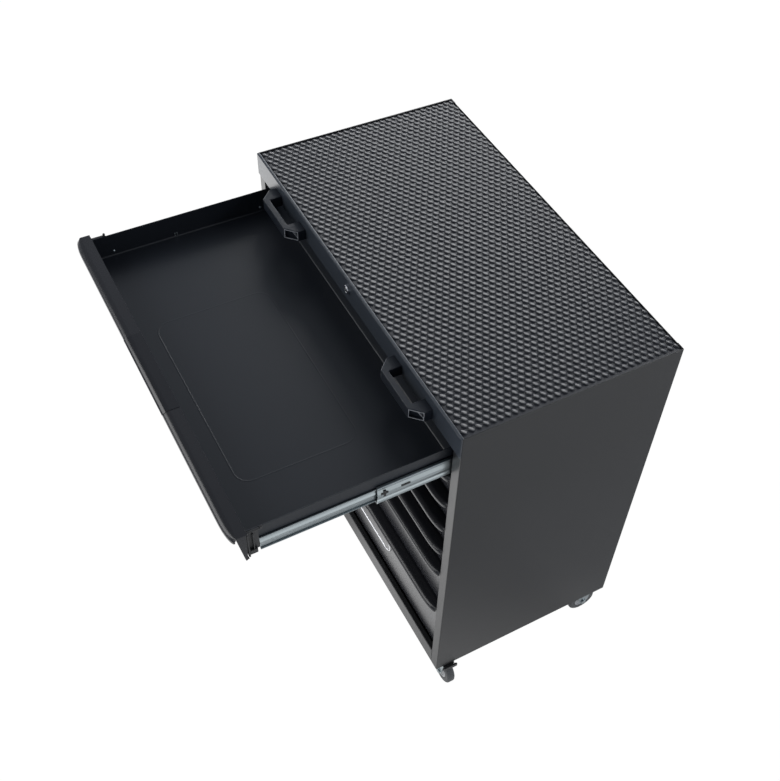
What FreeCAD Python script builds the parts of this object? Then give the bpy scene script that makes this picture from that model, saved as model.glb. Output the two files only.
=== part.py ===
import FreeCAD, Part
import math
import os

from FreeCAD import Vector

# Rolling tool cabinet with seven drawers, drawn at its real size in millimetres.
# X runs across the width, the front looks towards -Y and +Z is up.
# The origin is on the floor, under the middle of the steel body.
# While it is drawn, Y = 0 is the front plane of the corner posts.
# The top drawer stands open at rest, as in the photograph, and the other six are shut.

# Steel body
WIDTH = 914.0
DEPTH = 498.0
BODY_HEIGHT = 902.0
CASTER_HEIGHT = 100.0
BODY_SHEET = 1.2
POST_WIDTH = 27.6
POST_RETURN = 78.0
REAR_FLANGE = 20.0
UPRIGHT_BACK_GAP = 68.0
UPRIGHT_DEPTH = 22.0
TOP_RIM = 4.0
MAT_THICKNESS = 3.4
MAT_CLEARANCE = 0.5

# Front rails
TOP_RAIL_HEIGHT = 55.0
TOP_RAIL_PROUD = 3.0
TOP_RAIL_RIM = 7.0
TOP_RAIL_INSIDE = 12.0
BOTTOM_RAIL_HEIGHT = 50.0
BOTTOM_RAIL_FLANGE = 14.0
BOTTOM_RAIL_LIP = 9.0
BUMPER_TRIM_GAP = 6.0
BUMPER_RADIUS = 3.0
BUMPER_EDGE_GAP = 0.5
BUMPER_LENGTH = 2.5

# Drawers: the nose is the lowest front edge of the full-width pull
SHALLOW_DRAWERS = 5
TOP_NOSE_DROP = 70.4
DRAWER_PITCH = 86.4
DEEP_SHARE = 0.4471
TRAVEL = 428.0
FRONT_GAP = 2.4
FRONT_SHEET = 1.5
NOSE_REACH = 12.0
NOSE_END_SET_BACK = 10.3
NOSE_END_LENGTH = 55.0
NOSE_TIP_RISE = 2.2
NOSE_LIP_DEPTH = 6.0
RIDGE_Y = 3.0
RIDGE_RISE = 6.4
LEDGE_Y = 23.5
FACE_TOP_Y = 2.2
FACE_SLANT = 12.5
FACE_DROP = 70.6
FACE_HEM = 7.0
END_RETURN_Y = 21.4
TRIM_WIDTH = 214.0
TRIM_SHEET = 0.8
BRACKET_FRONT = 21.8
BRACKET_BACK = 45.6
BRACKET_RISE = 1.0
BRACKET_DROP = 66.0
BRACKET_WALL = 3.0
TRAY_SHEET = 1.0
TRAY_BACK_GAP = 54.0
TRAY_WALL_RISE = 1.4
TRAY_FLOOR_DROP = 55.6
LOWEST_FACE_GAP = 6.0

# Ball slides, three members each
SLIDE_SPACE = 13.0
SLIDE_SHEET = 1.2
SLIDE_DROP = 47.6
CABINET_MEMBER_HEIGHT = 53.0
MIDDLE_MEMBER_HEIGHT = 45.0
DRAWER_MEMBER_HEIGHT = 36.0
SLIDE_FLANGE_CLEARANCE = 1.4
MIDDLE_WEB_GAP = 2.1
CABINET_MEMBER_FRONT = 47.0
CABINET_MEMBER_BACK_GAP = 24.0
MIDDLE_MEMBER_FRONT = 61.0
MIDDLE_MEMBER_BACK_GAP = 28.0
DRAWER_MEMBER_FRONT = 46.0
DRAWER_WEB_GAP = 4.4
MIDDLE_SHARE = 0.5
BALL_GAP = 0.25
BALL_CAGE_WIDTH = 4.0
OUTER_CAGE_END_GAP = 19.0
OUTER_CAGE_LENGTH = 175.0
INNER_CAGE_START = 15.0
INNER_CAGE_LENGTH = 140.0

# Grab handles
HANDLE_INSET = 179.0
HANDLE_BASE_DROP = 49.1
HANDLE_HEIGHT = 26.0
HANDLE_BAR_HALF = 52.9
HANDLE_HALF = 77.0
HANDLE_REACH = 40.7
HANDLE_SHOULDER = 16.1
HANDLE_BAR = 12.0
HANDLE_GAP_HALF = 45.5
HANDLE_RECESS = 3.0
HANDLE_RECESS_RIM = 2.2

# Lock
LOCK_DROP = 23.0
LOCK_RING_RADIUS = 10.0
LOCK_RING_PROUD = 4.5
LOCK_BARREL_RADIUS = 8.5
LOCK_BARREL_DEPTH = 14.0
LOCK_NUT_RADIUS = 12.0
LOCK_NUT_THICKNESS = 4.0
LOCK_PLUG_RADIUS = 6.0
RUNNING_CLEARANCE = 0.05
LOCK_PLUG_TAIL = 4.0
KEYWAY_WIDTH = 1.6
KEYWAY_HEIGHT = 7.0
KEYWAY_DEPTH = 3.0
CAM_SHEET = 2.0
CAM_LENGTH = 18.0
CAM_WIDTH = 12.0

# Badge plate on the lowest drawer
BADGE_WIDTH = 400.0
BADGE_HEIGHT = 62.0
BADGE_TOP_DROP = 34.0
BADGE_THICKNESS = 2.2
BADGE_RIM = 4.0
BADGE_FIELD_DEPTH = 1.2

# Casters
WHEEL_RADIUS = 38.0
WHEEL_WIDTH = 22.0
HUB_RADIUS = 21.5
HUB_SLEEVE_RADIUS = 7.5
AXLE_RADIUS = 4.0
AXLE_HEAD_RADIUS = 7.0
AXLE_HEAD_THICKNESS = 3.5
LEG_SHEET = 2.5
LEG_GAP = 13.0
LEG_BOSS_RADIUS = 11.0
SIDE_CLEARANCE = 0.3
PLATE_THICKNESS = 3.0
PLATE_LENGTH = 78.0
PLATE_WIDTH = 58.0
PLATE_BOLT_LONG = 62.0
PLATE_BOLT_SHORT = 42.0
PLATE_BOLT_RADIUS = 4.0
BOLT_HEAD_RADIUS = 6.5
BOLT_HEAD_THICKNESS = 4.0
BOLT_NUT_THICKNESS = 5.0
RACE_RADIUS = 24.0
KINGPIN_RADIUS = 6.0
KINGPIN_HEAD_RADIUS = 10.0
KINGPIN_HEAD_THICKNESS = 4.0
CROWN_RADIUS = 26.0
CROWN_THICKNESS = 4.0
CROWN_TOP_Z = 90.0
CASTER_TRAIL = 26.0
FRONT_CASTER_INSET = 47.0
FRONT_CASTER_Y = 38.2
REAR_CASTER_INSET = 31.0
REAR_CASTER_BACK_GAP = 42.0
PEDAL_PIVOT_X = 38.0
PEDAL_PIVOT_Z = 82.5
PEDAL_PIN_RADIUS = 3.0
PEDAL_BARREL_RADIUS = 5.5
PEDAL_REACH = 54.0
PEDAL_WIDTH = 24.0
PEDAL_SHEET = 3.0
PEDAL_TOE = 10.0
PEDAL_TOE_WIDTH = 36.0
PEDAL_TOE_LENGTH = 8.0

HANDLE_SCREW_RADIUS = 2.5
HANDLE_SCREW_HEAD_RADIUS = 5.0
HANDLE_SCREW_HEAD = 3.0
HANDLE_SCREW_BITE = 8.0

HALF_WIDTH = WIDTH / 2
BODY_BOTTOM = CASTER_HEIGHT
BODY_TOP = CASTER_HEIGHT + BODY_HEIGHT
PAN_TOP = BODY_TOP - TOP_RIM
PAN_UNDER = PAN_TOP - BODY_SHEET
FLOOR_TOP = BODY_BOTTOM + BODY_SHEET
SIDE_INNER = HALF_WIDTH - BODY_SHEET
POST_INNER = HALF_WIDTH - POST_WIDTH
BACK_FACE = DEPTH - 2 * BODY_SHEET
FRONT_HALF = POST_INNER - FRONT_GAP
TRAY_HALF = POST_INNER - SLIDE_SPACE
RAIL_LIP = BODY_TOP - TOP_RAIL_HEIGHT
RAIL_FACE = -TOP_RAIL_PROUD
AXLE_Z = WHEEL_RADIUS
UPRIGHT_FRONT = DEPTH - UPRIGHT_BACK_GAP
BUMPER_X = TRIM_WIDTH / 2 + BUMPER_TRIM_GAP
TOP_NOSE = BODY_TOP - TOP_NOSE_DROP
DEEP_ROOM = TOP_NOSE - BODY_BOTTOM - BOTTOM_RAIL_HEIGHT - SHALLOW_DRAWERS * DRAWER_PITCH
DEEP_PITCH = DEEP_ROOM * DEEP_SHARE
TRAY_BACK = DEPTH - TRAY_BACK_GAP
CABINET_MEMBER_BACK = DEPTH - CABINET_MEMBER_BACK_GAP
MIDDLE_MEMBER_LENGTH = DEPTH - MIDDLE_MEMBER_BACK_GAP - MIDDLE_MEMBER_FRONT
OUTER_CAGE_START = MIDDLE_MEMBER_LENGTH - OUTER_CAGE_END_GAP - OUTER_CAGE_LENGTH
HANDLE_X = HALF_WIDTH - HANDLE_INSET
HANDLE_BASE = BODY_TOP - HANDLE_BASE_DROP
LOCK_AXIS_Z = BODY_TOP - LOCK_DROP
FRONT_CASTER_X = HALF_WIDTH - FRONT_CASTER_INSET
REAR_CASTER_X = HALF_WIDTH - REAR_CASTER_INSET
REAR_CASTER_Y = DEPTH - REAR_CASTER_BACK_GAP


def box(x0, x1, y0, y1, z0, z1):
    return Part.makeBox(x1 - x0, y1 - y0, z1 - z0, Vector(x0, y0, z0))


def cylinder(radius, start, end):
    axis = Vector(*end) - Vector(*start)
    return Part.makeCylinder(radius, axis.Length, Vector(*start), axis)


def ring(outer, inner, start, end):
    return cylinder(outer, start, end).cut(cylinder(inner, start, end))


def fuse(*shapes):
    whole = shapes[0]
    for shape in shapes[1:]:
        whole = whole.fuse(shape)
    return whole.removeSplitter()


def moved(shape, x=0.0, y=0.0, z=0.0):
    copy = shape.copy()
    copy.translate(Vector(x, y, z))
    return copy


def mirrored(shape):
    return shape.mirror(Vector(0, 0, 0), Vector(1, 0, 0))


def prism_along_x(points, x0, x1):
    corners = [Vector(x0, y, z) for y, z in points]
    face = Part.Face(Part.makePolygon(corners + corners[:1]))
    return face.extrude(Vector(x1 - x0, 0, 0))


def prism_along_y(points, y0, y1):
    corners = [Vector(x, y0, z) for x, z in points]
    face = Part.Face(Part.makePolygon(corners + corners[:1]))
    return face.extrude(Vector(0, y1 - y0, 0))


def prism_along_z(points, z0, z1):
    corners = [Vector(x, y, z0) for x, y in points]
    face = Part.Face(Part.makePolygon(corners + corners[:1]))
    return face.extrude(Vector(0, 0, z1 - z0))


def nose_height(number):
    # Drawer 1 is the top one; the last one follows the deep pitch.
    steps = min(number - 1, SHALLOW_DRAWERS)
    deep = max(number - 1 - SHALLOW_DRAWERS, 0)
    return TOP_NOSE - steps * DRAWER_PITCH - deep * DEEP_PITCH


DRAWERS = list(range(1, SHALLOW_DRAWERS + 3))
LAST_DRAWER = DRAWERS[-1]


def extra_depth(number):
    # How much deeper a drawer is than a shallow one.
    if number == LAST_DRAWER:
        room = nose_height(number) - BODY_BOTTOM - BOTTOM_RAIL_HEIGHT
        return room - LOWEST_FACE_GAP - FACE_DROP
    if number == SHALLOW_DRAWERS + 1:
        return DEEP_PITCH - DRAWER_PITCH
    return 0.0


def side_panel():
    # One folded sheet: side wall, front post with its inner return, and rear flange.
    wall = box(SIDE_INNER, HALF_WIDTH, 0, DEPTH, BODY_BOTTOM, BODY_TOP)
    post = box(POST_INNER, HALF_WIDTH, 0, BODY_SHEET, BODY_BOTTOM, PAN_UNDER)
    inner = POST_INNER + BODY_SHEET
    back = box(POST_INNER, inner, 0, POST_RETURN, FLOOR_TOP, PAN_UNDER)
    rear_y = DEPTH - BODY_SHEET
    rear = box(HALF_WIDTH - REAR_FLANGE, HALF_WIDTH, rear_y, DEPTH, BODY_BOTTOM, BODY_TOP)
    return fuse(wall, post, back, rear)


def rear_upright():
    # Folded channel that carries the rear ends of the slides.
    web_y = UPRIGHT_FRONT + UPRIGHT_DEPTH
    outer = box(SIDE_INNER - BODY_SHEET, SIDE_INNER, UPRIGHT_FRONT, web_y, FLOOR_TOP, PAN_UNDER)
    web = box(POST_INNER, SIDE_INNER, web_y, web_y + BODY_SHEET, FLOOR_TOP, PAN_UNDER)
    inner_end = web_y + BODY_SHEET + UPRIGHT_DEPTH
    inner = box(POST_INNER, POST_INNER + BODY_SHEET, web_y, inner_end, FLOOR_TOP, PAN_UNDER)
    return fuse(outer, web, inner)


def back_panel():
    return box(-SIDE_INNER, SIDE_INNER, BACK_FACE, BACK_FACE + BODY_SHEET, FLOOR_TOP, PAN_UNDER)


def bottom_panel():
    return box(-SIDE_INNER, SIDE_INNER, BODY_SHEET, DEPTH - BODY_SHEET, BODY_BOTTOM, FLOOR_TOP)


def top_panel():
    # Shallow pan between the side walls, with its edges turned up around the mat.
    front = RAIL_FACE + TOP_RAIL_RIM + BODY_SHEET
    back = DEPTH - BODY_SHEET
    pan = box(-SIDE_INNER, SIDE_INNER, front, back, PAN_UNDER, PAN_TOP)
    left = box(-SIDE_INNER, -SIDE_INNER + BODY_SHEET, front, back, PAN_TOP, BODY_TOP)
    right = mirrored(left)
    rear = box(-SIDE_INNER, SIDE_INNER, back - BODY_SHEET, back, PAN_TOP, BODY_TOP)
    return fuse(pan, left, right, rear)


def top_mat():
    half = SIDE_INNER - BODY_SHEET - MAT_CLEARANCE
    front = RAIL_FACE + TOP_RAIL_RIM + BODY_SHEET + MAT_CLEARANCE
    back = DEPTH - 2 * BODY_SHEET - MAT_CLEARANCE
    mat = box(-half, half, front, back, PAN_TOP, PAN_TOP + MAT_THICKNESS)
    return mat


def front_top_rail():
    # Proud header rail: face, rolled rim on top, lower flange and closed ends.
    face = box(-HALF_WIDTH, HALF_WIDTH, RAIL_FACE, RAIL_FACE + BODY_SHEET, RAIL_LIP, BODY_TOP)
    rim_y = RAIL_FACE + TOP_RAIL_RIM
    rim = box(-SIDE_INNER, SIDE_INNER, RAIL_FACE, rim_y, BODY_TOP - BODY_SHEET, BODY_TOP)
    rim_back = box(-SIDE_INNER, SIDE_INNER, rim_y, rim_y + BODY_SHEET, PAN_UNDER, BODY_TOP)
    lip = box(-HALF_WIDTH, HALF_WIDTH, RAIL_FACE, 0, RAIL_LIP, RAIL_LIP + BODY_SHEET)
    inside = box(-POST_INNER, POST_INNER, 0, TOP_RAIL_INSIDE, RAIL_LIP, RAIL_LIP + BODY_SHEET)
    upturn_y = TOP_RAIL_INSIDE - BODY_SHEET
    upturn = box(-POST_INNER, POST_INNER, upturn_y, TOP_RAIL_INSIDE, RAIL_LIP, RAIL_LIP + TOP_RAIL_INSIDE)
    end = box(SIDE_INNER, HALF_WIDTH, RAIL_FACE, 0, RAIL_LIP, BODY_TOP)
    rail = fuse(face, rim, rim_back, lip, inside, upturn, end, mirrored(end))
    lock_z = LOCK_AXIS_Z
    hole = cylinder(LOCK_BARREL_RADIUS, (0, RAIL_FACE - 1, lock_z), (0, RAIL_FACE + 3, lock_z))
    rail = rail.cut(hole)
    for x, z in handle_screw_places():
        hole = cylinder(HANDLE_SCREW_RADIUS, (x, RAIL_FACE - 1, z), (x, RAIL_FACE + 3, z))
        rail = rail.cut(hole)
    return rail


def front_bottom_rail():
    top = BODY_BOTTOM + BOTTOM_RAIL_HEIGHT
    face = box(-POST_INNER, POST_INNER, 0, BODY_SHEET, BODY_BOTTOM, top)
    flange = box(-POST_INNER, POST_INNER, 0, BOTTOM_RAIL_FLANGE, top - BODY_SHEET, top)
    lip_y = BOTTOM_RAIL_FLANGE - BODY_SHEET
    lip = box(-POST_INNER, POST_INNER, lip_y, BOTTOM_RAIL_FLANGE, top - BOTTOM_RAIL_LIP, top)
    return fuse(face, flange, lip)


def rail_bumpers():
    # Small rubber stops under the header rail that the top drawer's ledge meets.
    bumpers = []
    bumper_y = RAIL_FACE + BUMPER_RADIUS + BUMPER_EDGE_GAP
    for x in (-BUMPER_X, BUMPER_X):
        top = (x, bumper_y, RAIL_LIP)
        bumpers.append(cylinder(BUMPER_RADIUS, (x, bumper_y, RAIL_LIP - BUMPER_LENGTH), top))
    return bumpers


def handle_screw_places():
    z = HANDLE_BASE + HANDLE_HEIGHT / 2
    foot = HANDLE_HALF - HANDLE_BAR / 2
    return [(side * HANDLE_X + end * foot, z) for side in (-1, 1) for end in (-1, 1)]


def grab_handle(centre_x):
    # Moulded bow handle with slanted corners; each corner face is hollowed.
    z0 = HANDLE_BASE
    z1 = z0 + HANDLE_HEIGHT
    bar_y = RAIL_FACE - HANDLE_REACH
    shoulder_y = RAIL_FACE - HANDLE_SHOULDER
    outer = [
        (HANDLE_HALF, RAIL_FACE),
        (HANDLE_HALF, shoulder_y),
        (HANDLE_BAR_HALF, bar_y),
    ]
    outer_wire = outer + [(-x, y) for x, y in reversed(outer)]
    hand_gap = box(
        -HANDLE_GAP_HALF,
        HANDLE_GAP_HALF,
        bar_y + HANDLE_BAR,
        RAIL_FACE + 1,
        z0 - 1,
        z1 + 1,
    )
    bow = prism_along_z(outer_wire, z0, z1).cut(hand_gap)
    run_x = HANDLE_HALF - HANDLE_BAR_HALF
    run_y = shoulder_y - bar_y
    run = math.hypot(run_x, run_y)
    pocket = box(
        HANDLE_RECESS_RIM,
        run - HANDLE_RECESS_RIM,
        -1,
        HANDLE_RECESS,
        z0 + HANDLE_RECESS_RIM,
        z1 - HANDLE_RECESS_RIM,
    )
    pocket.rotate(Vector(0, 0, 0), Vector(0, 0, 1), math.degrees(math.atan2(run_y, run_x)))
    pocket.translate(Vector(HANDLE_BAR_HALF, bar_y, 0))
    bow = bow.cut(pocket).cut(mirrored(pocket))
    z = HANDLE_BASE + HANDLE_HEIGHT / 2
    foot = HANDLE_HALF - HANDLE_BAR / 2
    for x in (-foot, foot):
        tip = (x, RAIL_FACE - HANDLE_SCREW_BITE, z)
        bow = bow.cut(cylinder(HANDLE_SCREW_RADIUS, tip, (x, RAIL_FACE + 1, z)))
    return moved(bow, x=centre_x)


def handle_screws():
    screws = []
    inside = RAIL_FACE + BODY_SHEET
    for x, z in handle_screw_places():
        shank = cylinder(HANDLE_SCREW_RADIUS, (x, RAIL_FACE - HANDLE_SCREW_BITE, z), (x, inside, z))
        head_end = (x, inside + HANDLE_SCREW_HEAD, z)
        head = cylinder(HANDLE_SCREW_HEAD_RADIUS, (x, inside, z), head_end)
        screws.append(fuse(shank, head))
    return screws


def lock_housing():
    z = LOCK_AXIS_Z
    ring_front = RAIL_FACE - LOCK_RING_PROUD
    barrel_end = RAIL_FACE + LOCK_BARREL_DEPTH
    bore = LOCK_PLUG_RADIUS + RUNNING_CLEARANCE
    flange = cylinder(LOCK_RING_RADIUS, (0, ring_front, z), (0, RAIL_FACE, z))
    barrel = cylinder(LOCK_BARREL_RADIUS, (0, RAIL_FACE, z), (0, barrel_end, z))
    body = fuse(flange, barrel)
    body = body.cut(cylinder(bore, (0, ring_front - 1, z), (0, barrel_end + 1, z)))
    nut_start = RAIL_FACE + BODY_SHEET
    nut_end = nut_start + LOCK_NUT_THICKNESS
    corners = []
    for i in range(6):
        turn = math.radians(60 * i)
        corners.append((LOCK_NUT_RADIUS * math.cos(turn), z + LOCK_NUT_RADIUS * math.sin(turn)))
    nut = prism_along_y(corners, nut_start, nut_end)
    nut = nut.cut(cylinder(LOCK_BARREL_RADIUS, (0, nut_start, z), (0, nut_end, z)))
    return [body, nut]


def lock_plug():
    z = LOCK_AXIS_Z
    front = RAIL_FACE - LOCK_RING_PROUD
    end = RAIL_FACE + LOCK_BARREL_DEPTH + SIDE_CLEARANCE
    plug = cylinder(LOCK_PLUG_RADIUS, (0, front, z), (0, end, z))
    tail_end = end + CAM_SHEET + LOCK_PLUG_TAIL
    tail = cylinder(LOCK_PLUG_RADIUS / 2, (0, end, z), (0, tail_end, z))
    keyway = box(
        -KEYWAY_WIDTH / 2,
        KEYWAY_WIDTH / 2,
        front - 1,
        front + KEYWAY_DEPTH,
        z - KEYWAY_HEIGHT / 2,
        z + KEYWAY_HEIGHT / 2,
    )
    return fuse(plug, tail).cut(keyway)


def lock_cam():
    # Flat cam on the plug's tail, pointing sideways when the cabinet is unlocked.
    z = LOCK_AXIS_Z
    start = RAIL_FACE + LOCK_BARREL_DEPTH + SIDE_CLEARANCE
    end = start + CAM_SHEET
    eye = cylinder(CAM_WIDTH / 2, (0, start, z), (0, end, z))
    arm = box(0, CAM_LENGTH, start, end, z - CAM_WIDTH / 2, z + CAM_WIDTH / 2)
    hole = cylinder(LOCK_PLUG_RADIUS / 2, (0, start - 1, z), (0, end + 1, z))
    return fuse(eye, arm).cut(hole)


def channel(height, web_x, flange_x, y0, y1, z, sheet=SLIDE_SHEET):
    # C section lying along Y: a web at web_x and two flanges that reach flange_x.
    low, high = min(web_x, flange_x), max(web_x, flange_x)
    web_low = web_x if web_x < flange_x else web_x - sheet
    web = box(web_low, web_low + sheet, y0, y1, z - height / 2, z + height / 2)
    top = box(low, high, y0, y1, z + height / 2 - sheet, z + height / 2)
    bottom = box(low, high, y0, y1, z - height / 2, z - height / 2 + sheet)
    return fuse(web, top, bottom)


def slide_height(number):
    return nose_height(number) - SLIDE_DROP


def cabinet_slide_members():
    # The outer members, screwed to the posts' returns and to the rear uprights.
    members = []
    for number in DRAWERS:
        member = channel(
            CABINET_MEMBER_HEIGHT,
            POST_INNER,
            TRAY_HALF + SLIDE_FLANGE_CLEARANCE,
            CABINET_MEMBER_FRONT,
            CABINET_MEMBER_BACK,
            slide_height(number),
        )
        members += [member, mirrored(member)]
    return members


def middle_slide(number):
    # Middle members of one pair of slides, with their ball cages.
    z = slide_height(number)
    web_x = POST_INNER - SLIDE_SHEET - MIDDLE_WEB_GAP
    flange_x = TRAY_HALF + SLIDE_FLANGE_CLEARANCE
    front = MIDDLE_MEMBER_FRONT
    member = channel(
        MIDDLE_MEMBER_HEIGHT,
        web_x,
        flange_x,
        front,
        front + MIDDLE_MEMBER_LENGTH,
        z,
    )
    cage_x = (web_x - SLIDE_SHEET + flange_x) / 2
    x0 = cage_x - BALL_CAGE_WIDTH / 2
    x1 = cage_x + BALL_CAGE_WIDTH / 2
    outer_low = MIDDLE_MEMBER_HEIGHT / 2
    outer_high = CABINET_MEMBER_HEIGHT / 2 - SLIDE_SHEET - BALL_GAP
    inner_low = DRAWER_MEMBER_HEIGHT / 2 + BALL_GAP
    inner_high = MIDDLE_MEMBER_HEIGHT / 2 - SLIDE_SHEET
    outer_y = front + OUTER_CAGE_START
    inner_y = front + INNER_CAGE_START
    pieces = [member]
    for side in (-1, 1):
        low, high = sorted((side * outer_low, side * outer_high))
        pieces.append(box(x0, x1, outer_y, outer_y + OUTER_CAGE_LENGTH, z + low, z + high))
        low, high = sorted((side * inner_low, side * inner_high))
        pieces.append(box(x0, x1, inner_y, inner_y + INNER_CAGE_LENGTH, z + low, z + high))
    return pieces + [mirrored(piece) for piece in pieces]


def drawer_runners(number):
    # Inner slide members, fixed to the tray's side walls.
    web_x = TRAY_HALF
    reach = POST_INNER - 2 * SLIDE_SHEET - MIDDLE_WEB_GAP - DRAWER_WEB_GAP
    member = channel(
        DRAWER_MEMBER_HEIGHT,
        web_x,
        reach,
        DRAWER_MEMBER_FRONT,
        TRAY_BACK,
        slide_height(number),
    )
    return [member, mirrored(member)]


def drawer_box(number):
    # Open tray folded from sheet; its front wall is taller and carries the ledge.
    nose = nose_height(number)
    wall_top = nose + TRAY_WALL_RISE
    floor_top = nose - TRAY_FLOOR_DROP - extra_depth(number)
    under = floor_top - TRAY_SHEET
    front = LEDGE_Y - TRAY_SHEET
    floor = box(-TRAY_HALF, TRAY_HALF, front, TRAY_BACK, under, floor_top)
    side = box(TRAY_HALF - TRAY_SHEET, TRAY_HALF, front, TRAY_BACK, under, wall_top)
    back = box(-TRAY_HALF, TRAY_HALF, TRAY_BACK - TRAY_SHEET, TRAY_BACK, under, wall_top)
    ledge_under = nose + RIDGE_RISE - FRONT_SHEET
    face = box(-TRAY_HALF, TRAY_HALF, front, LEDGE_Y, under, ledge_under)
    return fuse(floor, side, mirrored(side), back, face)


def nose_plan(z0, z1):
    # Plan outline of the pull: straight, then curving back near both ends.
    tip = -NOSE_REACH
    start = FRONT_HALF - NOSE_END_LENGTH
    middle_x = start + 0.68 * NOSE_END_LENGTH
    middle_y = tip + 0.22 * NOSE_END_SET_BACK
    end_y = tip + NOSE_END_SET_BACK
    back = LEDGE_Y + 1
    points = [
        Vector(-FRONT_HALF, end_y, z0),
        Vector(-middle_x, middle_y, z0),
        Vector(-start, tip, z0),
        Vector(start, tip, z0),
        Vector(middle_x, middle_y, z0),
        Vector(FRONT_HALF, end_y, z0),
        Vector(FRONT_HALF, back, z0),
        Vector(-FRONT_HALF, back, z0),
    ]
    edges = [
        Part.Arc(points[0], points[1], points[2]).toShape(),
        Part.makeLine(points[2], points[3]),
        Part.Arc(points[3], points[4], points[5]).toShape(),
        Part.makeLine(points[5], points[6]),
        Part.makeLine(points[6], points[7]),
        Part.makeLine(points[7], points[0]),
    ]
    return Part.Face(Part.Wire(edges)).extrude(Vector(0, 0, z1 - z0))


def pull_outline(nose):
    # Section of the pull: ledge, ridge, sloping nose and its lip turned down.
    sheet = FRONT_SHEET
    ridge_z = nose + RIDGE_RISE
    tip_z = nose + NOSE_TIP_RISE
    shoulder = -NOSE_REACH + 2 * sheet
    lip_z = nose - NOSE_LIP_DEPTH
    return [
        (LEDGE_Y, ridge_z),
        (RIDGE_Y, ridge_z),
        (shoulder, tip_z),
        (-NOSE_REACH + 0.4 * sheet, nose + 0.6 * sheet),
        (-NOSE_REACH, nose - sheet),
        (-NOSE_REACH + 0.5 * sheet, lip_z),
        (-NOSE_REACH + 1.5 * sheet, lip_z),
        (-NOSE_REACH + sheet, nose - sheet),
        (shoulder + 0.3 * sheet, tip_z - sheet),
        (RIDGE_Y, ridge_z - sheet),
        (LEDGE_Y, ridge_z - sheet),
    ]


def drawer_face(number):
    # Full-width front: the pull along its top, a slanted face and closed ends.
    nose = nose_height(number)
    sheet = FRONT_SHEET
    drop = FACE_DROP + extra_depth(number)
    pull = prism_along_x(pull_outline(nose), -FRONT_HALF, FRONT_HALF)
    top = nose + RIDGE_RISE
    pull = pull.common(nose_plan(nose - NOSE_LIP_DEPTH - 1, top + 1))
    face_top = top - sheet - 0.2
    foot_y = FACE_TOP_Y + FACE_SLANT
    foot_z = nose - drop
    slab = [
        (FACE_TOP_Y, face_top),
        (foot_y, foot_z),
        (foot_y + sheet, foot_z),
        (FACE_TOP_Y + sheet, face_top),
    ]
    face = prism_along_x(slab, -FRONT_HALF, FRONT_HALF)
    neck = box(-FRONT_HALF, FRONT_HALF, FACE_TOP_Y, FACE_TOP_Y + sheet, face_top - sheet, top - sheet)
    hem = box(-FRONT_HALF, FRONT_HALF, foot_y, foot_y + FACE_HEM, foot_z, foot_z + sheet)
    cheek = [
        (FACE_TOP_Y + sheet / 2, top - sheet),
        (foot_y + sheet / 2, foot_z),
        (foot_y + FACE_HEM / 2, foot_z),
        (END_RETURN_Y, nose - TRAY_FLOOR_DROP / 2),
        (END_RETURN_Y, top - sheet),
    ]
    end = prism_along_x(cheek, FRONT_HALF - sheet, FRONT_HALF)
    return fuse(pull, neck, face, hem, end, mirrored(end))


def front_trim(number):
    # Clip-on cover in the middle of the pull: a thin strip over ledge and slope.
    nose = nose_height(number)
    ridge_z = nose + RIDGE_RISE
    shoulder = -NOSE_REACH + 2 * FRONT_SHEET
    tip_z = nose + NOSE_TIP_RISE
    outline = [
        (LEDGE_Y, ridge_z),
        (LEDGE_Y, ridge_z + TRIM_SHEET),
        (RIDGE_Y - TRIM_SHEET / 4, ridge_z + TRIM_SHEET),
        (shoulder, tip_z + TRIM_SHEET),
        (shoulder, tip_z),
        (RIDGE_Y, ridge_z),
    ]
    return prism_along_x(outline, -TRIM_WIDTH / 2, TRIM_WIDTH / 2)


def end_bracket(number):
    # Plastic corner bracket between the tray's side wall and the front's end.
    nose = nose_height(number)
    high = nose + BRACKET_RISE
    low = nose - BRACKET_DROP
    outer = POST_INNER - FRONT_GAP - FRONT_SHEET / 2
    plate = box(TRAY_HALF, TRAY_HALF + BRACKET_WALL, BRACKET_FRONT, BRACKET_BACK, low, high)
    front_y = BRACKET_FRONT + BRACKET_WALL
    cheek = box(TRAY_HALF, outer, BRACKET_FRONT, front_y, low, high)
    cap = box(TRAY_HALF, outer, BRACKET_FRONT, BRACKET_BACK, high - BRACKET_WALL, high)
    return fuse(plate, cheek, cap)


def drawer_front(number):
    bracket = end_bracket(number)
    return [drawer_face(number), front_trim(number), bracket, mirrored(bracket)]


def face_y_at(number, z):
    nose = nose_height(number)
    top = nose + RIDGE_RISE - FRONT_SHEET - 0.2
    foot = nose - FACE_DROP - extra_depth(number)
    return FACE_TOP_Y + FACE_SLANT * (top - z) / (top - foot)


def badge_plate():
    # Blank nameplate with rounded ends and a raised rim, lying on the slanted face.
    top_z = nose_height(LAST_DRAWER) - BADGE_TOP_DROP
    low_z = top_z - BADGE_HEIGHT
    top_y = face_y_at(LAST_DRAWER, top_z)
    low_y = face_y_at(LAST_DRAWER, low_z)
    tilt = math.degrees(math.atan2(low_y - top_y, BADGE_HEIGHT))
    end = BADGE_WIDTH / 2 - BADGE_HEIGHT / 2

    def stadium(margin, y0, y1):
        radius = BADGE_HEIGHT / 2 - margin
        middle = box(-end, end, y0, y1, -radius, radius)
        left = cylinder(radius, (-end, y0, 0), (-end, y1, 0))
        right = cylinder(radius, (end, y0, 0), (end, y1, 0))
        return fuse(middle, left, right)

    plate = stadium(0, -BADGE_THICKNESS, 0)
    plate = plate.cut(stadium(BADGE_RIM, -BADGE_THICKNESS - 1, -BADGE_THICKNESS + BADGE_FIELD_DEPTH))
    plate.rotate(Vector(0, 0, 0), Vector(1, 0, 0), tilt)
    return moved(plate, y=(top_y + low_y) / 2, z=(top_z + low_z) / 2)


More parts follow.
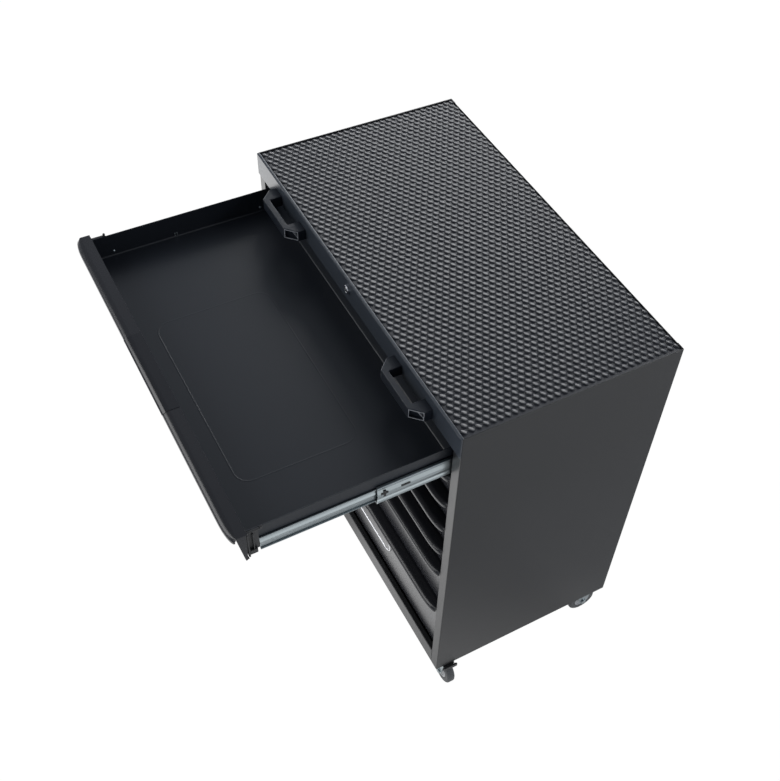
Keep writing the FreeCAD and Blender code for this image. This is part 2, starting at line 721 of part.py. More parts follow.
def caster_plate_bolt_places(x, y, across):
    # The plate's long side lies along X, or along Y when it is turned across.
    half_x, half_y = PLATE_BOLT_LONG / 2, PLATE_BOLT_SHORT / 2
    if across:
        half_x, half_y = half_y, half_x
    return [(x + i * half_x, y + j * half_y) for i in (-1, 1) for j in (-1, 1)]


def all_bolt_places():
    places = []
    for side in (-1, 1):
        places += caster_plate_bolt_places(side * FRONT_CASTER_X, FRONT_CASTER_Y, False)
        places += caster_plate_bolt_places(side * REAR_CASTER_X, REAR_CASTER_Y, True)
    return places


def caster_plate(x, y, across):
    z0 = BODY_BOTTOM - PLATE_THICKNESS
    half_x, half_y = PLATE_LENGTH / 2, PLATE_WIDTH / 2
    if across:
        half_x, half_y = half_y, half_x
    plate = box(x - half_x, x + half_x, y - half_y, y + half_y, z0, BODY_BOTTOM)
    corners = [e for e in plate.Edges if abs(e.tangentAt(e.FirstParameter).z) > 0.9]
    plate = plate.makeFillet(PLATE_BOLT_RADIUS, corners)
    for bx, by in caster_plate_bolt_places(x, y, across):
        plate = plate.cut(cylinder(PLATE_BOLT_RADIUS, (bx, by, z0 - 1), (bx, by, BODY_BOTTOM + 1)))
    return plate


def plate_bolts():
    z0 = BODY_BOTTOM - PLATE_THICKNESS
    solids = []
    for x, y in all_bolt_places():
        head = cylinder(BOLT_HEAD_RADIUS, (x, y, z0 - BOLT_HEAD_THICKNESS), (x, y, z0))
        shank = cylinder(PLATE_BOLT_RADIUS, (x, y, z0), (x, y, FLOOR_TOP + BOLT_NUT_THICKNESS))
        nut = cylinder(BOLT_HEAD_RADIUS, (x, y, FLOOR_TOP), (x, y, FLOOR_TOP + BOLT_NUT_THICKNESS))
        solids.append(fuse(head, shank, nut))
    return solids


def drilled_bottom_panel():
    panel = bottom_panel()
    for x, y in all_bolt_places():
        panel = panel.cut(cylinder(PLATE_BOLT_RADIUS, (x, y, BODY_BOTTOM - 1), (x, y, FLOOR_TOP + 1)))
    return panel


def front_caster_plate(x):
    # Swivel top plate with its ball race and the riveted kingpin.
    y = FRONT_CASTER_Y
    z0 = BODY_BOTTOM - PLATE_THICKNESS
    plate = caster_plate(x, y, False)
    race = cylinder(RACE_RADIUS, (x, y, CROWN_TOP_Z + SIDE_CLEARANCE), (x, y, z0))
    head_top = CROWN_TOP_Z - CROWN_THICKNESS - SIDE_CLEARANCE
    pin = cylinder(KINGPIN_RADIUS, (x, y, head_top), (x, y, z0))
    head = cylinder(KINGPIN_HEAD_RADIUS, (x, y, head_top - KINGPIN_HEAD_THICKNESS), (x, y, head_top))
    return fuse(plate, race, pin, head)


def leg_outline(crown_half, boss_x, crown_z):
    # Fork leg seen from the side: wide under the crown, narrow at the axle.
    half = LEG_BOSS_RADIUS
    return [
        (-crown_half, crown_z),
        (crown_half, crown_z),
        (boss_x + half, AXLE_Z),
        (boss_x + half / 2, AXLE_Z - half * 0.85),
        (boss_x - half / 2, AXLE_Z - half * 0.85),
        (boss_x - half, AXLE_Z),
    ]


def axle_bolt(x, y):
    # Wheel axle along Y, with a head on one side and a nut on the other.
    reach = LEG_GAP + LEG_SHEET
    rod = cylinder(AXLE_RADIUS, (x, y - reach, AXLE_Z), (x, y + reach, AXLE_Z))
    outer = reach + AXLE_HEAD_THICKNESS
    head = cylinder(AXLE_HEAD_RADIUS, (x, y - outer, AXLE_Z), (x, y - reach, AXLE_Z))
    nut = cylinder(AXLE_HEAD_RADIUS, (x, y + reach, AXLE_Z), (x, y + outer, AXLE_Z))
    return fuse(rod, head, nut)


def swivel_fork():
    # Fork with the swivel axis at the origin and the wheel trailing towards +X.
    crown_under = CROWN_TOP_Z - CROWN_THICKNESS
    reach = LEG_GAP + LEG_SHEET
    crown = cylinder(CROWN_RADIUS, (0, 0, crown_under), (0, 0, CROWN_TOP_Z))
    bridge = box(-CROWN_RADIUS * 0.8, CROWN_RADIUS, -reach, reach, crown_under, CROWN_TOP_Z)
    outline = [
        (-CROWN_RADIUS * 0.8, CROWN_TOP_Z),
        (PEDAL_PIVOT_X + 2, CROWN_TOP_Z),
        (PEDAL_PIVOT_X + 7, PEDAL_PIVOT_Z),
        (PEDAL_PIVOT_X + 4, PEDAL_PIVOT_Z - 7),
        (CASTER_TRAIL + LEG_BOSS_RADIUS, AXLE_Z),
        (CASTER_TRAIL + LEG_BOSS_RADIUS / 2, AXLE_Z - LEG_BOSS_RADIUS),
        (CASTER_TRAIL - LEG_BOSS_RADIUS / 2, AXLE_Z - LEG_BOSS_RADIUS),
        (CASTER_TRAIL - LEG_BOSS_RADIUS, AXLE_Z),
        (-CROWN_RADIUS * 0.6, crown_under - 5),
    ]
    leg = prism_along_y(outline, LEG_GAP, reach)
    other = prism_along_y(outline, -reach, -LEG_GAP)
    fork = fuse(crown, bridge, leg, other)
    bore = KINGPIN_RADIUS + RUNNING_CLEARANCE
    fork = fork.cut(cylinder(bore, (0, 0, crown_under - 1), (0, 0, CROWN_TOP_Z + 1)))
    axle_hole = cylinder(
        AXLE_RADIUS, (CASTER_TRAIL, -reach - 1, AXLE_Z), (CASTER_TRAIL, reach + 1, AXLE_Z)
    )
    fork = fork.cut(axle_hole)
    pin_from = (PEDAL_PIVOT_X, -reach, PEDAL_PIVOT_Z)
    pin_to = (PEDAL_PIVOT_X, reach, PEDAL_PIVOT_Z)
    pedal_pin = cylinder(PEDAL_PIN_RADIUS, pin_from, pin_to)
    fork = fork.cut(pedal_pin)
    return [fork, axle_bolt(CASTER_TRAIL, 0), pedal_pin]


def brake_pedal():
    # Foot pedal turning on the fork's cross pin, with a turned-up toe.
    half = LEG_GAP - SIDE_CLEARANCE
    x = PEDAL_PIVOT_X
    z = PEDAL_PIVOT_Z
    barrel = cylinder(PEDAL_BARREL_RADIUS, (x, -half, z), (x, half, z))
    plate_top = z + PEDAL_SHEET / 2
    plate_low = z - PEDAL_SHEET / 2
    plate = box(x, PEDAL_REACH, -PEDAL_WIDTH / 2, PEDAL_WIDTH / 2, plate_low, plate_top)
    wide = PEDAL_TOE_WIDTH / 2
    pad = box(PEDAL_REACH - PEDAL_TOE_LENGTH, PEDAL_REACH, -wide, wide, plate_low, plate_top)
    toe = box(PEDAL_REACH - PEDAL_SHEET, PEDAL_REACH, -wide, wide, plate_low, z + PEDAL_TOE)
    bore = PEDAL_PIN_RADIUS + RUNNING_CLEARANCE
    pedal = fuse(barrel, plate, pad, toe)
    return pedal.cut(cylinder(bore, (x, -half - 1, z), (x, half + 1, z)))


def wheel(x, y):
    # Tyre and hub with the axle along Y.
    half = WHEEL_WIDTH / 2
    start, end = (x, y - half, AXLE_Z), (x, y + half, AXLE_Z)
    tyre = ring(WHEEL_RADIUS, HUB_RADIUS, start, end)
    crown = [e for e in tyre.Edges if e.Curve.TypeId == "Part::GeomCircle"]
    crown = [e for e in crown if e.Curve.Radius > HUB_RADIUS + 1]
    tyre = tyre.makeFillet(half * 0.3, crown)
    hub = cylinder(HUB_RADIUS, start, end)
    sleeve = LEG_GAP - SIDE_CLEARANCE
    hub = fuse(hub, cylinder(HUB_SLEEVE_RADIUS, (x, y - sleeve, AXLE_Z), (x, y + sleeve, AXLE_Z)))
    bore = AXLE_RADIUS + RUNNING_CLEARANCE
    hub = hub.cut(cylinder(bore, (x, y - sleeve - 1, AXLE_Z), (x, y + sleeve + 1, AXLE_Z)))
    return tyre, hub


def turned(shape, x, y):
    # Turns a piece drawn with its axle along Y so that the axle lies along X.
    copy = shape.copy()
    copy.rotate(Vector(0, 0, 0), Vector(0, 0, 1), 90)
    return moved(copy, x=x, y=y)


def rear_caster_frame():
    # Rigid caster housing: top plate and two pressed legs.
    plate = caster_plate(0, 0, True)
    reach = LEG_GAP + LEG_SHEET
    outline = leg_outline(PLATE_LENGTH / 3, 0, BODY_BOTTOM - PLATE_THICKNESS)
    leg = prism_along_y(outline, LEG_GAP, reach)
    other = prism_along_y(outline, -reach, -LEG_GAP)
    legs = fuse(leg, other)
    hole = cylinder(AXLE_RADIUS, (0, -reach - 1, AXLE_Z), (0, reach + 1, AXLE_Z))
    legs = turned(legs.cut(hole), 0, 0)
    return moved(fuse(plate, legs), x=REAR_CASTER_X, y=REAR_CASTER_Y)


def both_sides(shape):
    return [shape, mirrored(shape)]


def save(name, shapes, slide_out=0.0):
    # Brings the pieces of one node to the part's own frame and writes them.
    solids = shapes if isinstance(shapes, list) else [shapes]
    placed = [moved(solid, y=-DEPTH / 2 - slide_out) for solid in solids]
    whole = placed[0] if len(placed) == 1 else Part.makeCompound(placed)
    if not whole.isValid():
        raise ValueError(name + " is not a valid shape")
    whole.exportStep("parts/" + name + ".step")
    limits = whole.BoundBox
    low = (round(limits.XMin, 1), round(limits.YMin, 1), round(limits.ZMin, 1))
    high = (round(limits.XMax, 1), round(limits.YMax, 1), round(limits.ZMax, 1))
    print(name, len(whole.Solids), low, high)


def build_body():
    panel = side_panel()
    save("side_panel_right", panel)
    save("side_panel_left", mirrored(panel))
    save("rear_uprights", both_sides(rear_upright()))
    save("back_panel", back_panel())
    save("bottom_panel", drilled_bottom_panel())
    save("top_panel", top_panel())
    save("top_mat", top_mat())
    save("front_top_rail", front_top_rail())
    save("front_bottom_rail", front_bottom_rail())
    save("rail_bumpers", rail_bumpers())
    save("cabinet_slide_members", cabinet_slide_members())
    save("grab_handle_left", grab_handle(-HANDLE_X))
    save("grab_handle_right", grab_handle(HANDLE_X))
    save("lock_housing", lock_housing())
    save("lock_plug", lock_plug())
    save("lock_cam", lock_cam())


def build_drawers():
    for number in DRAWERS:
        out = TRAVEL if number == DRAWERS[0] else 0.0
        name = "drawer_" + str(number)
        save(name + "_box", drawer_box(number), out)
        save(name + "_front", drawer_front(number), out)
        save(name + "_runners", drawer_runners(number), out)
        save(name + "_middle_slides", middle_slide(number), out * MIDDLE_SHARE)
    save("badge_plate", badge_plate())


def build_casters():
    save("front_caster_plates", [front_caster_plate(x) for x in (-FRONT_CASTER_X, FRONT_CASTER_X)])
    save("rear_caster_frames", both_sides(rear_caster_frame()))
    fork = [moved(piece, x=FRONT_CASTER_X, y=FRONT_CASTER_Y) for piece in swivel_fork()]
    pedal = moved(brake_pedal(), x=FRONT_CASTER_X, y=FRONT_CASTER_Y)
    front_wheel = wheel(FRONT_CASTER_X + CASTER_TRAIL, FRONT_CASTER_Y)
    rear_wheel = [turned(piece, REAR_CASTER_X, REAR_CASTER_Y) for piece in wheel(0, 0)]
    rear_axle = turned(axle_bolt(0, 0), REAR_CASTER_X, REAR_CASTER_Y)
    for side, place in (("right", lambda s: s), ("left", mirrored)):
        save("front_fork_" + side, [place(piece) for piece in fork])
        save("brake_pedal_" + side, place(pedal))
        save("front_tyre_" + side, place(front_wheel[0]))
        save("front_hub_" + side, place(front_wheel[1]))
        save("rear_tyre_" + side, place(rear_wheel[0]))
        save("rear_hub_" + side, place(rear_wheel[1]))
    save("fasteners", handle_screws() + plate_bolts() + both_sides(rear_axle))


os.makedirs("parts", exist_ok=True)
build_body()
build_drawers()
build_casters()
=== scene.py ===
import math

import bmesh
import bpy
from mathutils import Matrix, Vector


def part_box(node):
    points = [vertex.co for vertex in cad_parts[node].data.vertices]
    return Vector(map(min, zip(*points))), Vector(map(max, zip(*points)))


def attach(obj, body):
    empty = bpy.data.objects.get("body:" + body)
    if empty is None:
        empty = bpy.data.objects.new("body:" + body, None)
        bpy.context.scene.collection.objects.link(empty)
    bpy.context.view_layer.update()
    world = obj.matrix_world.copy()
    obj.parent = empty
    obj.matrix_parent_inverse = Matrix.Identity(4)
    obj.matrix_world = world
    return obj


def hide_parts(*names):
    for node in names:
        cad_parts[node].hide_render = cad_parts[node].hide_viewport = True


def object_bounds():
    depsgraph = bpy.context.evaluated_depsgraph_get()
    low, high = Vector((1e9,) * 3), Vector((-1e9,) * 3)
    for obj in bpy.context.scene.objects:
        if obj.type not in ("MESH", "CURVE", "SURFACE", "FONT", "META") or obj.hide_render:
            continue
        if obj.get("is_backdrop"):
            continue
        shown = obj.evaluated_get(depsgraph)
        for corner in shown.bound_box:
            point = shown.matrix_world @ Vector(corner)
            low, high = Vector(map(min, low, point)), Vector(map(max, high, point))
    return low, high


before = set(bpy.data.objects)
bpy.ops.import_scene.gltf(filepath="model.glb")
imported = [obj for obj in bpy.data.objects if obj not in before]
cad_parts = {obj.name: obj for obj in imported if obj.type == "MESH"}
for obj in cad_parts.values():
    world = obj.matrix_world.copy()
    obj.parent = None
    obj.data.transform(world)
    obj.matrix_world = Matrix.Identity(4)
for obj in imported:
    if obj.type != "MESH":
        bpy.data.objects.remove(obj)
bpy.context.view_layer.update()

# Side panels.
# Each is one sheet of 1.2 mm steel, folded into the front post and the rear flange.
# They are powder coated in satin charcoal before the cabinet is assembled.
mm = 0.001
sheet_steel = 1.2
fold_radius = 2.2


def span(node):
    # The lowest and highest corner of a node's box, in millimetres.
    low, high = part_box(node)
    return Vector(low) / mm, Vector(high) / mm


def linear(colour):
    steps = [int(colour[i:i + 2], 16) / 255 for i in (0, 2, 4)]
    flat = [s / 12.92 if s <= 0.04045 else ((s + 0.055) / 1.055) ** 2.4 for s in steps]
    return (*flat, 1.0)


def add(tree, kind, settings=None, links=None):
    node = tree.nodes.new(kind)
    for name, value in (settings or {}).items():
        if isinstance(name, int) or name in node.inputs:
            node.inputs[name].default_value = value
        else:
            setattr(node, name, value)
    for name, socket in (links or {}).items():
        tree.links.new(socket, node.inputs[name])
    return node


def new_material(name, colour, roughness, metallic=0.0):
    finish = bpy.data.materials.new(name)
    finish.use_nodes = True
    shader = finish.node_tree.nodes["Principled BSDF"]
    shader.inputs["Base Color"].default_value = linear(colour)
    shader.inputs["Roughness"].default_value = roughness
    shader.inputs["Metallic"].default_value = metallic
    return finish


def nodes_of(finish):
    return finish.node_tree, finish.node_tree.nodes["Principled BSDF"]


def grain(finish, scale, detail, strength, depth):
    # Raises a fine noise on a finish. The scale counts grains per metre, so 1000 is 1 mm.
    tree, shader = nodes_of(finish)
    place = add(tree, "ShaderNodeTexCoord").outputs["Object"]
    speck = add(tree, "ShaderNodeTexNoise", {"Scale": scale, "Detail": detail}, {"Vector": place})
    bump = add(tree, "ShaderNodeBump", {"Strength": strength, "Distance": depth})
    tree.links.new(speck.outputs["Fac"], bump.inputs["Height"])
    tree.links.new(bump.outputs["Normal"], shader.inputs["Normal"])


def powder_coat(name, dark, light, roughness):
    # Polyester powder sprayed and baked on sheet steel: a satin skin, slightly clouded,
    # with an orange peel of about 1.4 mm that softens the highlights.
    finish = new_material(name, dark, roughness)
    tree, shader = nodes_of(finish)
    place = add(tree, "ShaderNodeTexCoord").outputs["Object"]
    cloud = add(tree, "ShaderNodeTexNoise", {"Scale": 4.0, "Detail": 3.0}, {"Vector": place})
    blend = add(tree, "ShaderNodeMix", {"data_type": "RGBA", 6: linear(dark), 7: linear(light)})
    tree.links.new(cloud.outputs["Fac"], blend.inputs[0])
    tree.links.new(blend.outputs[2], shader.inputs["Base Color"])
    grain(finish, scale=700.0, detail=2.0, strength=0.12, depth=0.0004)
    return finish


def soften(mesh, edges, size, segments=2):
    bmesh.ops.bevel(
        mesh,
        geom=list(edges),
        offset=size,
        offset_type="OFFSET",
        segments=segments,
        profile=0.5,
        affect="EDGES",
        material=-1,
        clamp_overlap=True,
    )


def corners_of(geometry):
    return [item for item in geometry if isinstance(item, bmesh.types.BMVert)]


def folded(points, sweep, sheet=sheet_steel, fold=fold_radius, segments=3):
    # Sheet bent along the given outer corners; its thickness goes to the left-hand side.
    mesh = bmesh.new()
    corners = [mesh.verts.new(point) for point in points]
    edges = [mesh.edges.new(pair) for pair in zip(corners, corners[1:])]
    swept = bmesh.ops.extrude_edge_only(mesh, edges=edges)["geom"]
    bmesh.ops.translate(mesh, vec=sweep, verts=corners_of(swept))
    creases = [edge for edge in mesh.edges if len(edge.link_faces) == 2]
    if creases:
        soften(mesh, creases, fold, segments)
    bmesh.ops.solidify(mesh, geom=mesh.faces[:], thickness=-sheet)
    return mesh


def flipped(mesh):
    bmesh.ops.scale(mesh, vec=(-1, 1, 1), verts=mesh.verts)
    bmesh.ops.reverse_faces(mesh, faces=mesh.faces)
    return mesh


def piece(name, mesh, finish, slot, body, *nodes, smooth=32):
    # Brings a shape drawn in millimetres to the frame and hands it to its body.
    bmesh.ops.recalc_face_normals(mesh, faces=mesh.faces)
    bmesh.ops.scale(mesh, vec=(mm, mm, mm), verts=mesh.verts)
    data = bpy.data.meshes.new(name)
    mesh.to_mesh(data)
    mesh.free()
    data.shade_smooth()
    data.set_sharp_from_angle(angle=math.radians(smooth))
    data.materials.append(finish)
    shape = bpy.data.objects.new(name, data)
    bpy.context.collection.objects.link(shape)
    level = shape.modifiers.new("flat_faces_stay_flat", "WEIGHTED_NORMAL")
    level.keep_sharp = True
    level.weight = 100
    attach(shape, body)
    if nodes:
        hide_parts(*nodes)
    return shape


body_finish = powder_coat("charcoal_powder_coat", "1A1B1D", "1F2022", 0.34)
panel_low, panel_high = span("side_panel_right")
rear_flange = 20.0
post_return = 78.0
pan_drop = 5.2
seat_gap = 0.1
past_fold = 4.0
slack = 1.0
front_y = panel_low.y
pan_top = panel_high.z - pan_drop

for side in ("right", "left"):
    plan = [
        (panel_low.x, front_y + post_return),
        (panel_low.x, front_y),
        (panel_high.x, front_y),
        (panel_high.x, panel_high.y),
        (panel_high.x - rear_flange, panel_high.y),
    ]
    height = Vector((0, 0, panel_high.z - panel_low.z))
    panel = folded([(x, y, panel_low.z) for x, y in plan], height)
    for vert in panel.verts:
        # The post ends below the top pan, and its return stands on the bottom panel.
        x, y, z = vert.co
        in_post = x < panel_high.x - past_fold and y < front_y + post_return + slack
        if in_post and z > panel_high.z - slack:
            vert.co.z = pan_top
        if in_post and z < panel_low.z + slack and y > front_y + past_fold:
            vert.co.z = panel_low.z + sheet_steel + seat_gap
    if side == "left":
        panel = flipped(panel)
    piece("side_" + side, panel, body_finish, "body_paint", "root", "side_panel_" + side)

# Back, bottom and rear uprights.
# Plain sheets that close the body and carry the slides; hardly seen once it stands.
# They keep the sizes of the frame and take the same powder coat.
def finished(node, finish, edge=0.4):
    # Gives a piece of the frame its finish, rounds its edges a little and shades it.
    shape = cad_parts[node]
    shape.data.materials.clear()
    shape.data.materials.append(finish)
    weld = shape.modifiers.new("closed_seams", "WELD")
    weld.merge_threshold = 0.02 * mm
    rounding = shape.modifiers.new("rounded_edges", "BEVEL")
    rounding.width = edge * mm
    rounding.segments = 2
    rounding.limit_method = "ANGLE"
    rounding.angle_limit = math.radians(40)
    rounding.harden_normals = True


for node in ("back_panel", "bottom_panel", "rear_uprights", "top_panel"):
    finished(node, body_finish)

# Header rail.
# Folded channel that stands a little proud of the posts, with a rolled rim for the mat.
# The lock and both bow handles are fixed through its face.
# A lighter copy of the body's charcoal coat: painted light on the rail's face, which reflects
# little light.
rail_lightened_coat = powder_coat("charcoal_coat_painted_lighter_on_rail", "353B43", "3A4048", 0.30)
rail_low, rail_high = span("front_top_rail")
rim_depth = 7.0
rim_turn_down = 4.0
lip_depth = 12.0
rail_fold = 2.0
cap_inset = 0.4


def across(points, low_x, high_x):
    # Start points and sweep of a section of (y, z) pairs that runs from side to side.
    return [(low_x, y, z) for y, z in points], Vector((high_x - low_x, 0, 0))


def joined(*meshes):
    whole = bmesh.new()
    for mesh in meshes:
        data = bpy.data.meshes.new("part")
        mesh.to_mesh(data)
        mesh.free()
        whole.from_mesh(data)
        bpy.data.meshes.remove(data)
    return whole


def both_sides(mesh):
    # The shape and its mirror image on the other side of the cabinet.
    return joined(mesh.copy(), flipped(mesh))


def prism(points, sweep, bevel=0.0, segments=2):
    # Solid between a flat outline and its copy at the end of the sweep.
    mesh = bmesh.new()
    face = mesh.faces.new([mesh.verts.new(point) for point in points])
    swept = bmesh.ops.extrude_face_region(mesh, geom=[face])["geom"]
    bmesh.ops.translate(mesh, vec=sweep, verts=corners_of(swept))
    bmesh.ops.recalc_face_normals(mesh, faces=mesh.faces)
    if bevel:
        soften(mesh, mesh.edges, bevel, segments)
    return mesh


rail_section = [
    (rail_high.y, rail_low.z + lip_depth),
    (rail_high.y, rail_low.z),
    (rail_low.y, rail_low.z),
    (rail_low.y, rail_high.z),
    (rail_low.y + rim_depth, rail_high.z),
    (rail_low.y + rim_depth, rail_high.z - rim_turn_down),
]
rail_end_x = panel_low.x
points, sweep = across(rail_section, -rail_end_x, rail_end_x)
middle = folded(points, sweep, -sheet_steel, rail_fold)
outer_section = [(front_y, rail_low.z)] + rail_section[2:]
points, sweep = across(outer_section, rail_end_x, panel_high.x - sheet_steel)
outer = folded(points, sweep, -sheet_steel, rail_fold)
cap_x = panel_high.x - sheet_steel
cap_outline = [
    (cap_x, rail_low.y + cap_inset, rail_low.z + cap_inset),
    (cap_x, front_y, rail_low.z + cap_inset),
    (cap_x, front_y, rail_high.z - cap_inset),
    (cap_x, rail_low.y + cap_inset, rail_high.z - cap_inset),
]
cap = prism(cap_outline, Vector((sheet_steel, 0, 0)), cap_inset)
rail = joined(middle, both_sides(outer), both_sides(cap))
piece("header_rail", rail, rail_lightened_coat, "body_paint", "root", "front_top_rail")

# Bottom rail.
# Folded strip between the feet of the posts, flush with their faces.
# Its top edge turns back into the cabinet and down again.
low, high = span("front_bottom_rail")
bottom_lip = 9.0
bottom_section = [
    (low.y, low.z),
    (low.y, high.z),
    (high.y, high.z),
    (high.y, high.z - bottom_lip),
]
points, sweep = across(bottom_section, low.x, high.x)
bottom_rail = folded(points, sweep, -sheet_steel)
piece("bottom_rail", bottom_rail, body_finish, "body_paint", "root", "front_bottom_rail")

# Top mat.
# Moulded rubber sheet laid loose in the top pan, with oval studs on a staggered grid.
# Each stud's top falls away to the back and the left, so the rows read as slanted dashes.
mat_low, mat_high = span("top_mat")
stud_pitch_x = 26.1
stud_pitch_y = 15.5
stud_length = 16.2
stud_width = 11.6
stud_height = 2.1
stud_slope = (0.033, -0.105)
stud_turn = 33.0
stud_profile = [(0.5, -0.05), (0.45, 0.5), (0.38, 0.84), (0.24, 0.97), (0.0, 1.0)]
stud_steps = 12
mat_relief = 2.7
mat_base = mat_high.z - mat_relief
mat_margin = (7.0, 6.0)
columns = 35
rows = 32


def rubber(name, colour, roughness, scale):
    # Vulcanised rubber off a mould: dark, with a slightly greasy sheen over a fine grain.
    finish = new_material(name, colour, roughness)
    grain(finish, scale, detail=3.0, strength=0.2, depth=0.0002)
    return finish


def block(low, high, bevel=0.0, segments=2):
    mesh = bmesh.new()
    bmesh.ops.create_cube(mesh, size=1)
    bmesh.ops.scale(mesh, vec=Vector(high) - Vector(low), verts=mesh.verts)
    bmesh.ops.translate(mesh, vec=(Vector(low) + Vector(high)) / 2, verts=mesh.verts)
    if bevel:
        soften(mesh, mesh.edges, bevel, segments)
    return mesh


def turned(profile, centre, axis, steps=40):
    # Turns a profile of (radius, distance) pairs about an axis.
    mesh = bmesh.new()
    axis = Vector(axis)
    centre = Vector(centre)
    side = axis.orthogonal().normalized()
    corners = [mesh.verts.new(centre + side * radius + axis * along) for radius, along in profile]
    edges = [mesh.edges.new(pair) for pair in zip(corners, corners[1:])]
    bmesh.ops.spin(
        mesh,
        geom=corners + edges,
        cent=centre,
        axis=axis,
        angle=math.tau,
        steps=steps,
        use_merge=True,
        use_duplicate=False,
    )
    bmesh.ops.remove_doubles(mesh, verts=mesh.verts, dist=0.001)
    return mesh


def repeated(mesh, step, count):
    # Lays copies of the whole mesh side by side.
    unit = mesh.verts[:] + mesh.edges[:] + mesh.faces[:]
    for i in range(1, count):
        copies = bmesh.ops.duplicate(mesh, geom=unit)["geom"]
        bmesh.ops.translate(mesh, vec=Vector(step) * i, verts=corners_of(copies))
    return mesh


def stud():
    # One moulded stud: a flattened oval dome, turned, its top sloping to the back left.
    dome = turned(stud_profile, (0, 0, 0), (0, 0, 1), stud_steps)
    bmesh.ops.scale(dome, vec=(stud_length, stud_width, stud_height), verts=dome.verts)
    turn = Matrix.Rotation(math.radians(stud_turn), 3, "Z")
    bmesh.ops.rotate(dome, cent=(0, 0, 0), matrix=turn, verts=dome.verts)
    for vert in dome.verts:
        vert.co.z *= 1 + stud_slope[0] * vert.co.x + stud_slope[1] * vert.co.y
    return dome


def stud_rows(x, y, across_count, along_count):
    field = stud()
    bmesh.ops.translate(field, vec=(x, y, mat_base), verts=field.verts)
    repeated(field, (stud_pitch_x, 0, 0), across_count)
    return repeated(field, (0, stud_pitch_y, 0), along_count)


mat_finish = rubber("moulded_rubber_mat", "292B31", 0.35, 900.0)
first_x = mat_low.x + mat_margin[0]
first_y = mat_low.y + mat_margin[1]
mat = joined(
    block(mat_low, (mat_high.x, mat_high.y, mat_base), 0.3, 1),
    stud_rows(first_x, first_y, columns, rows),
    stud_rows(first_x + stud_pitch_x / 2, first_y + stud_pitch_y / 2, columns - 1, rows - 1),
)
piece("top_mat_studded", mat, mat_finish, "ribbed_rubber", "root", "top_mat", smooth=60)

# Bumpers.
# Two small rubber buttons pressed into the rail's lower flange stop the top drawer's ledge.
bumper_finish = rubber("soft_black_rubber", "1C1C1D", 0.55, 1500.0)
low, high = span("rail_bumpers")
bumper_radius = 3.0
bumper_y = (low.y + high.y) / 2
bumper_x = high.x - bumper_radius
button = [(0, -2.5), (2.2, -2.5), (bumper_radius, -1.7), (bumper_radius, 0.0), (0, 0.0)]
buttons = both_sides(turned(button, (bumper_x, bumper_y, high.z), (0, 0, 1), 20))
piece("bumper_buttons", buttons, bumper_finish, "bumper_rubber", "root", "rail_bumpers")

# Bow handles.
# Moulded in black glass-filled nylon, with a hollow in each slanted corner face.
# Each is held by two screws that come through the rail from inside.
handle_finish = new_material("black_nylon", "20252D", 0.3)
grain(handle_finish, scale=1400.0, detail=2.0, strength=0.18, depth=0.0003)
# Light grey without the moulded grain, on the rims and ribs of the hollows: a painted highlight
# for the light their edges catch, not a colour of the nylon.
rim_highlight_finish = new_material("nylon_rim_painted_highlight", "B4B7BC", 0.35)
bar_half = 52.9
bar_thickness = 12.0
shoulder = 16.1
gap_half = 45.5
gap_chamfer = 2.0
handle_rounding = 1.2
sharp_angle = 0.6
least_corner_area = 200.0
slant = (0.4, 0.95)
recess_depth = 6.0
recess_margin = 1.3
recess_draft = 0.3
rim_margin = 0.7
rim_width = 1.1
rim_sunk = 0.2
rim_thickness = 0.9
rib_half = 0.45
rib_foot = 0.15
rib_clearance = 0.12
rib_sunk = 0.6


def rim_frame(corners, outward):
    # Raised rim round a hollow and the slanting rib inside it.
    mesh = bmesh.new()
    loops = []
    for margin in (rim_margin, rim_margin + rim_width):
        loop = []
        for i in range(4):
            before = (corners[i - 1] - corners[i]).normalized()
            after = (corners[(i + 1) % 4] - corners[i]).normalized()
            inset = (before + after) * margin
            loop.append(mesh.verts.new(corners[i] + inset - outward * rim_sunk))
        loops.append(loop)
    outer_loop, inner_loop = loops
    ring = [
        mesh.faces.new((outer_loop[i - 1], outer_loop[i], inner_loop[i], inner_loop[i - 1]))
        for i in range(4)
    ]
    swept = bmesh.ops.extrude_face_region(mesh, geom=ring)["geom"]
    bmesh.ops.translate(mesh, vec=outward * rim_thickness, verts=corners_of(swept))
    by_height = sorted(corners, key=lambda corner: (round(corner.z), corner.y))
    _, low_far, high_near, high_far = by_height
    start = (high_near + high_far) / 2
    end = low_far + (high_far - low_far) * rib_foot
    start = start + (end - start) * rib_clearance
    end = end + (start - end) * rib_clearance
    half_rib = (end - start).cross(outward).normalized() * rib_half
    base = [start - half_rib, end - half_rib, end + half_rib, start + half_rib]
    base = [point - outward * recess_depth for point in base]
    return joined(mesh, prism(base, outward * (recess_depth - rib_sunk)))


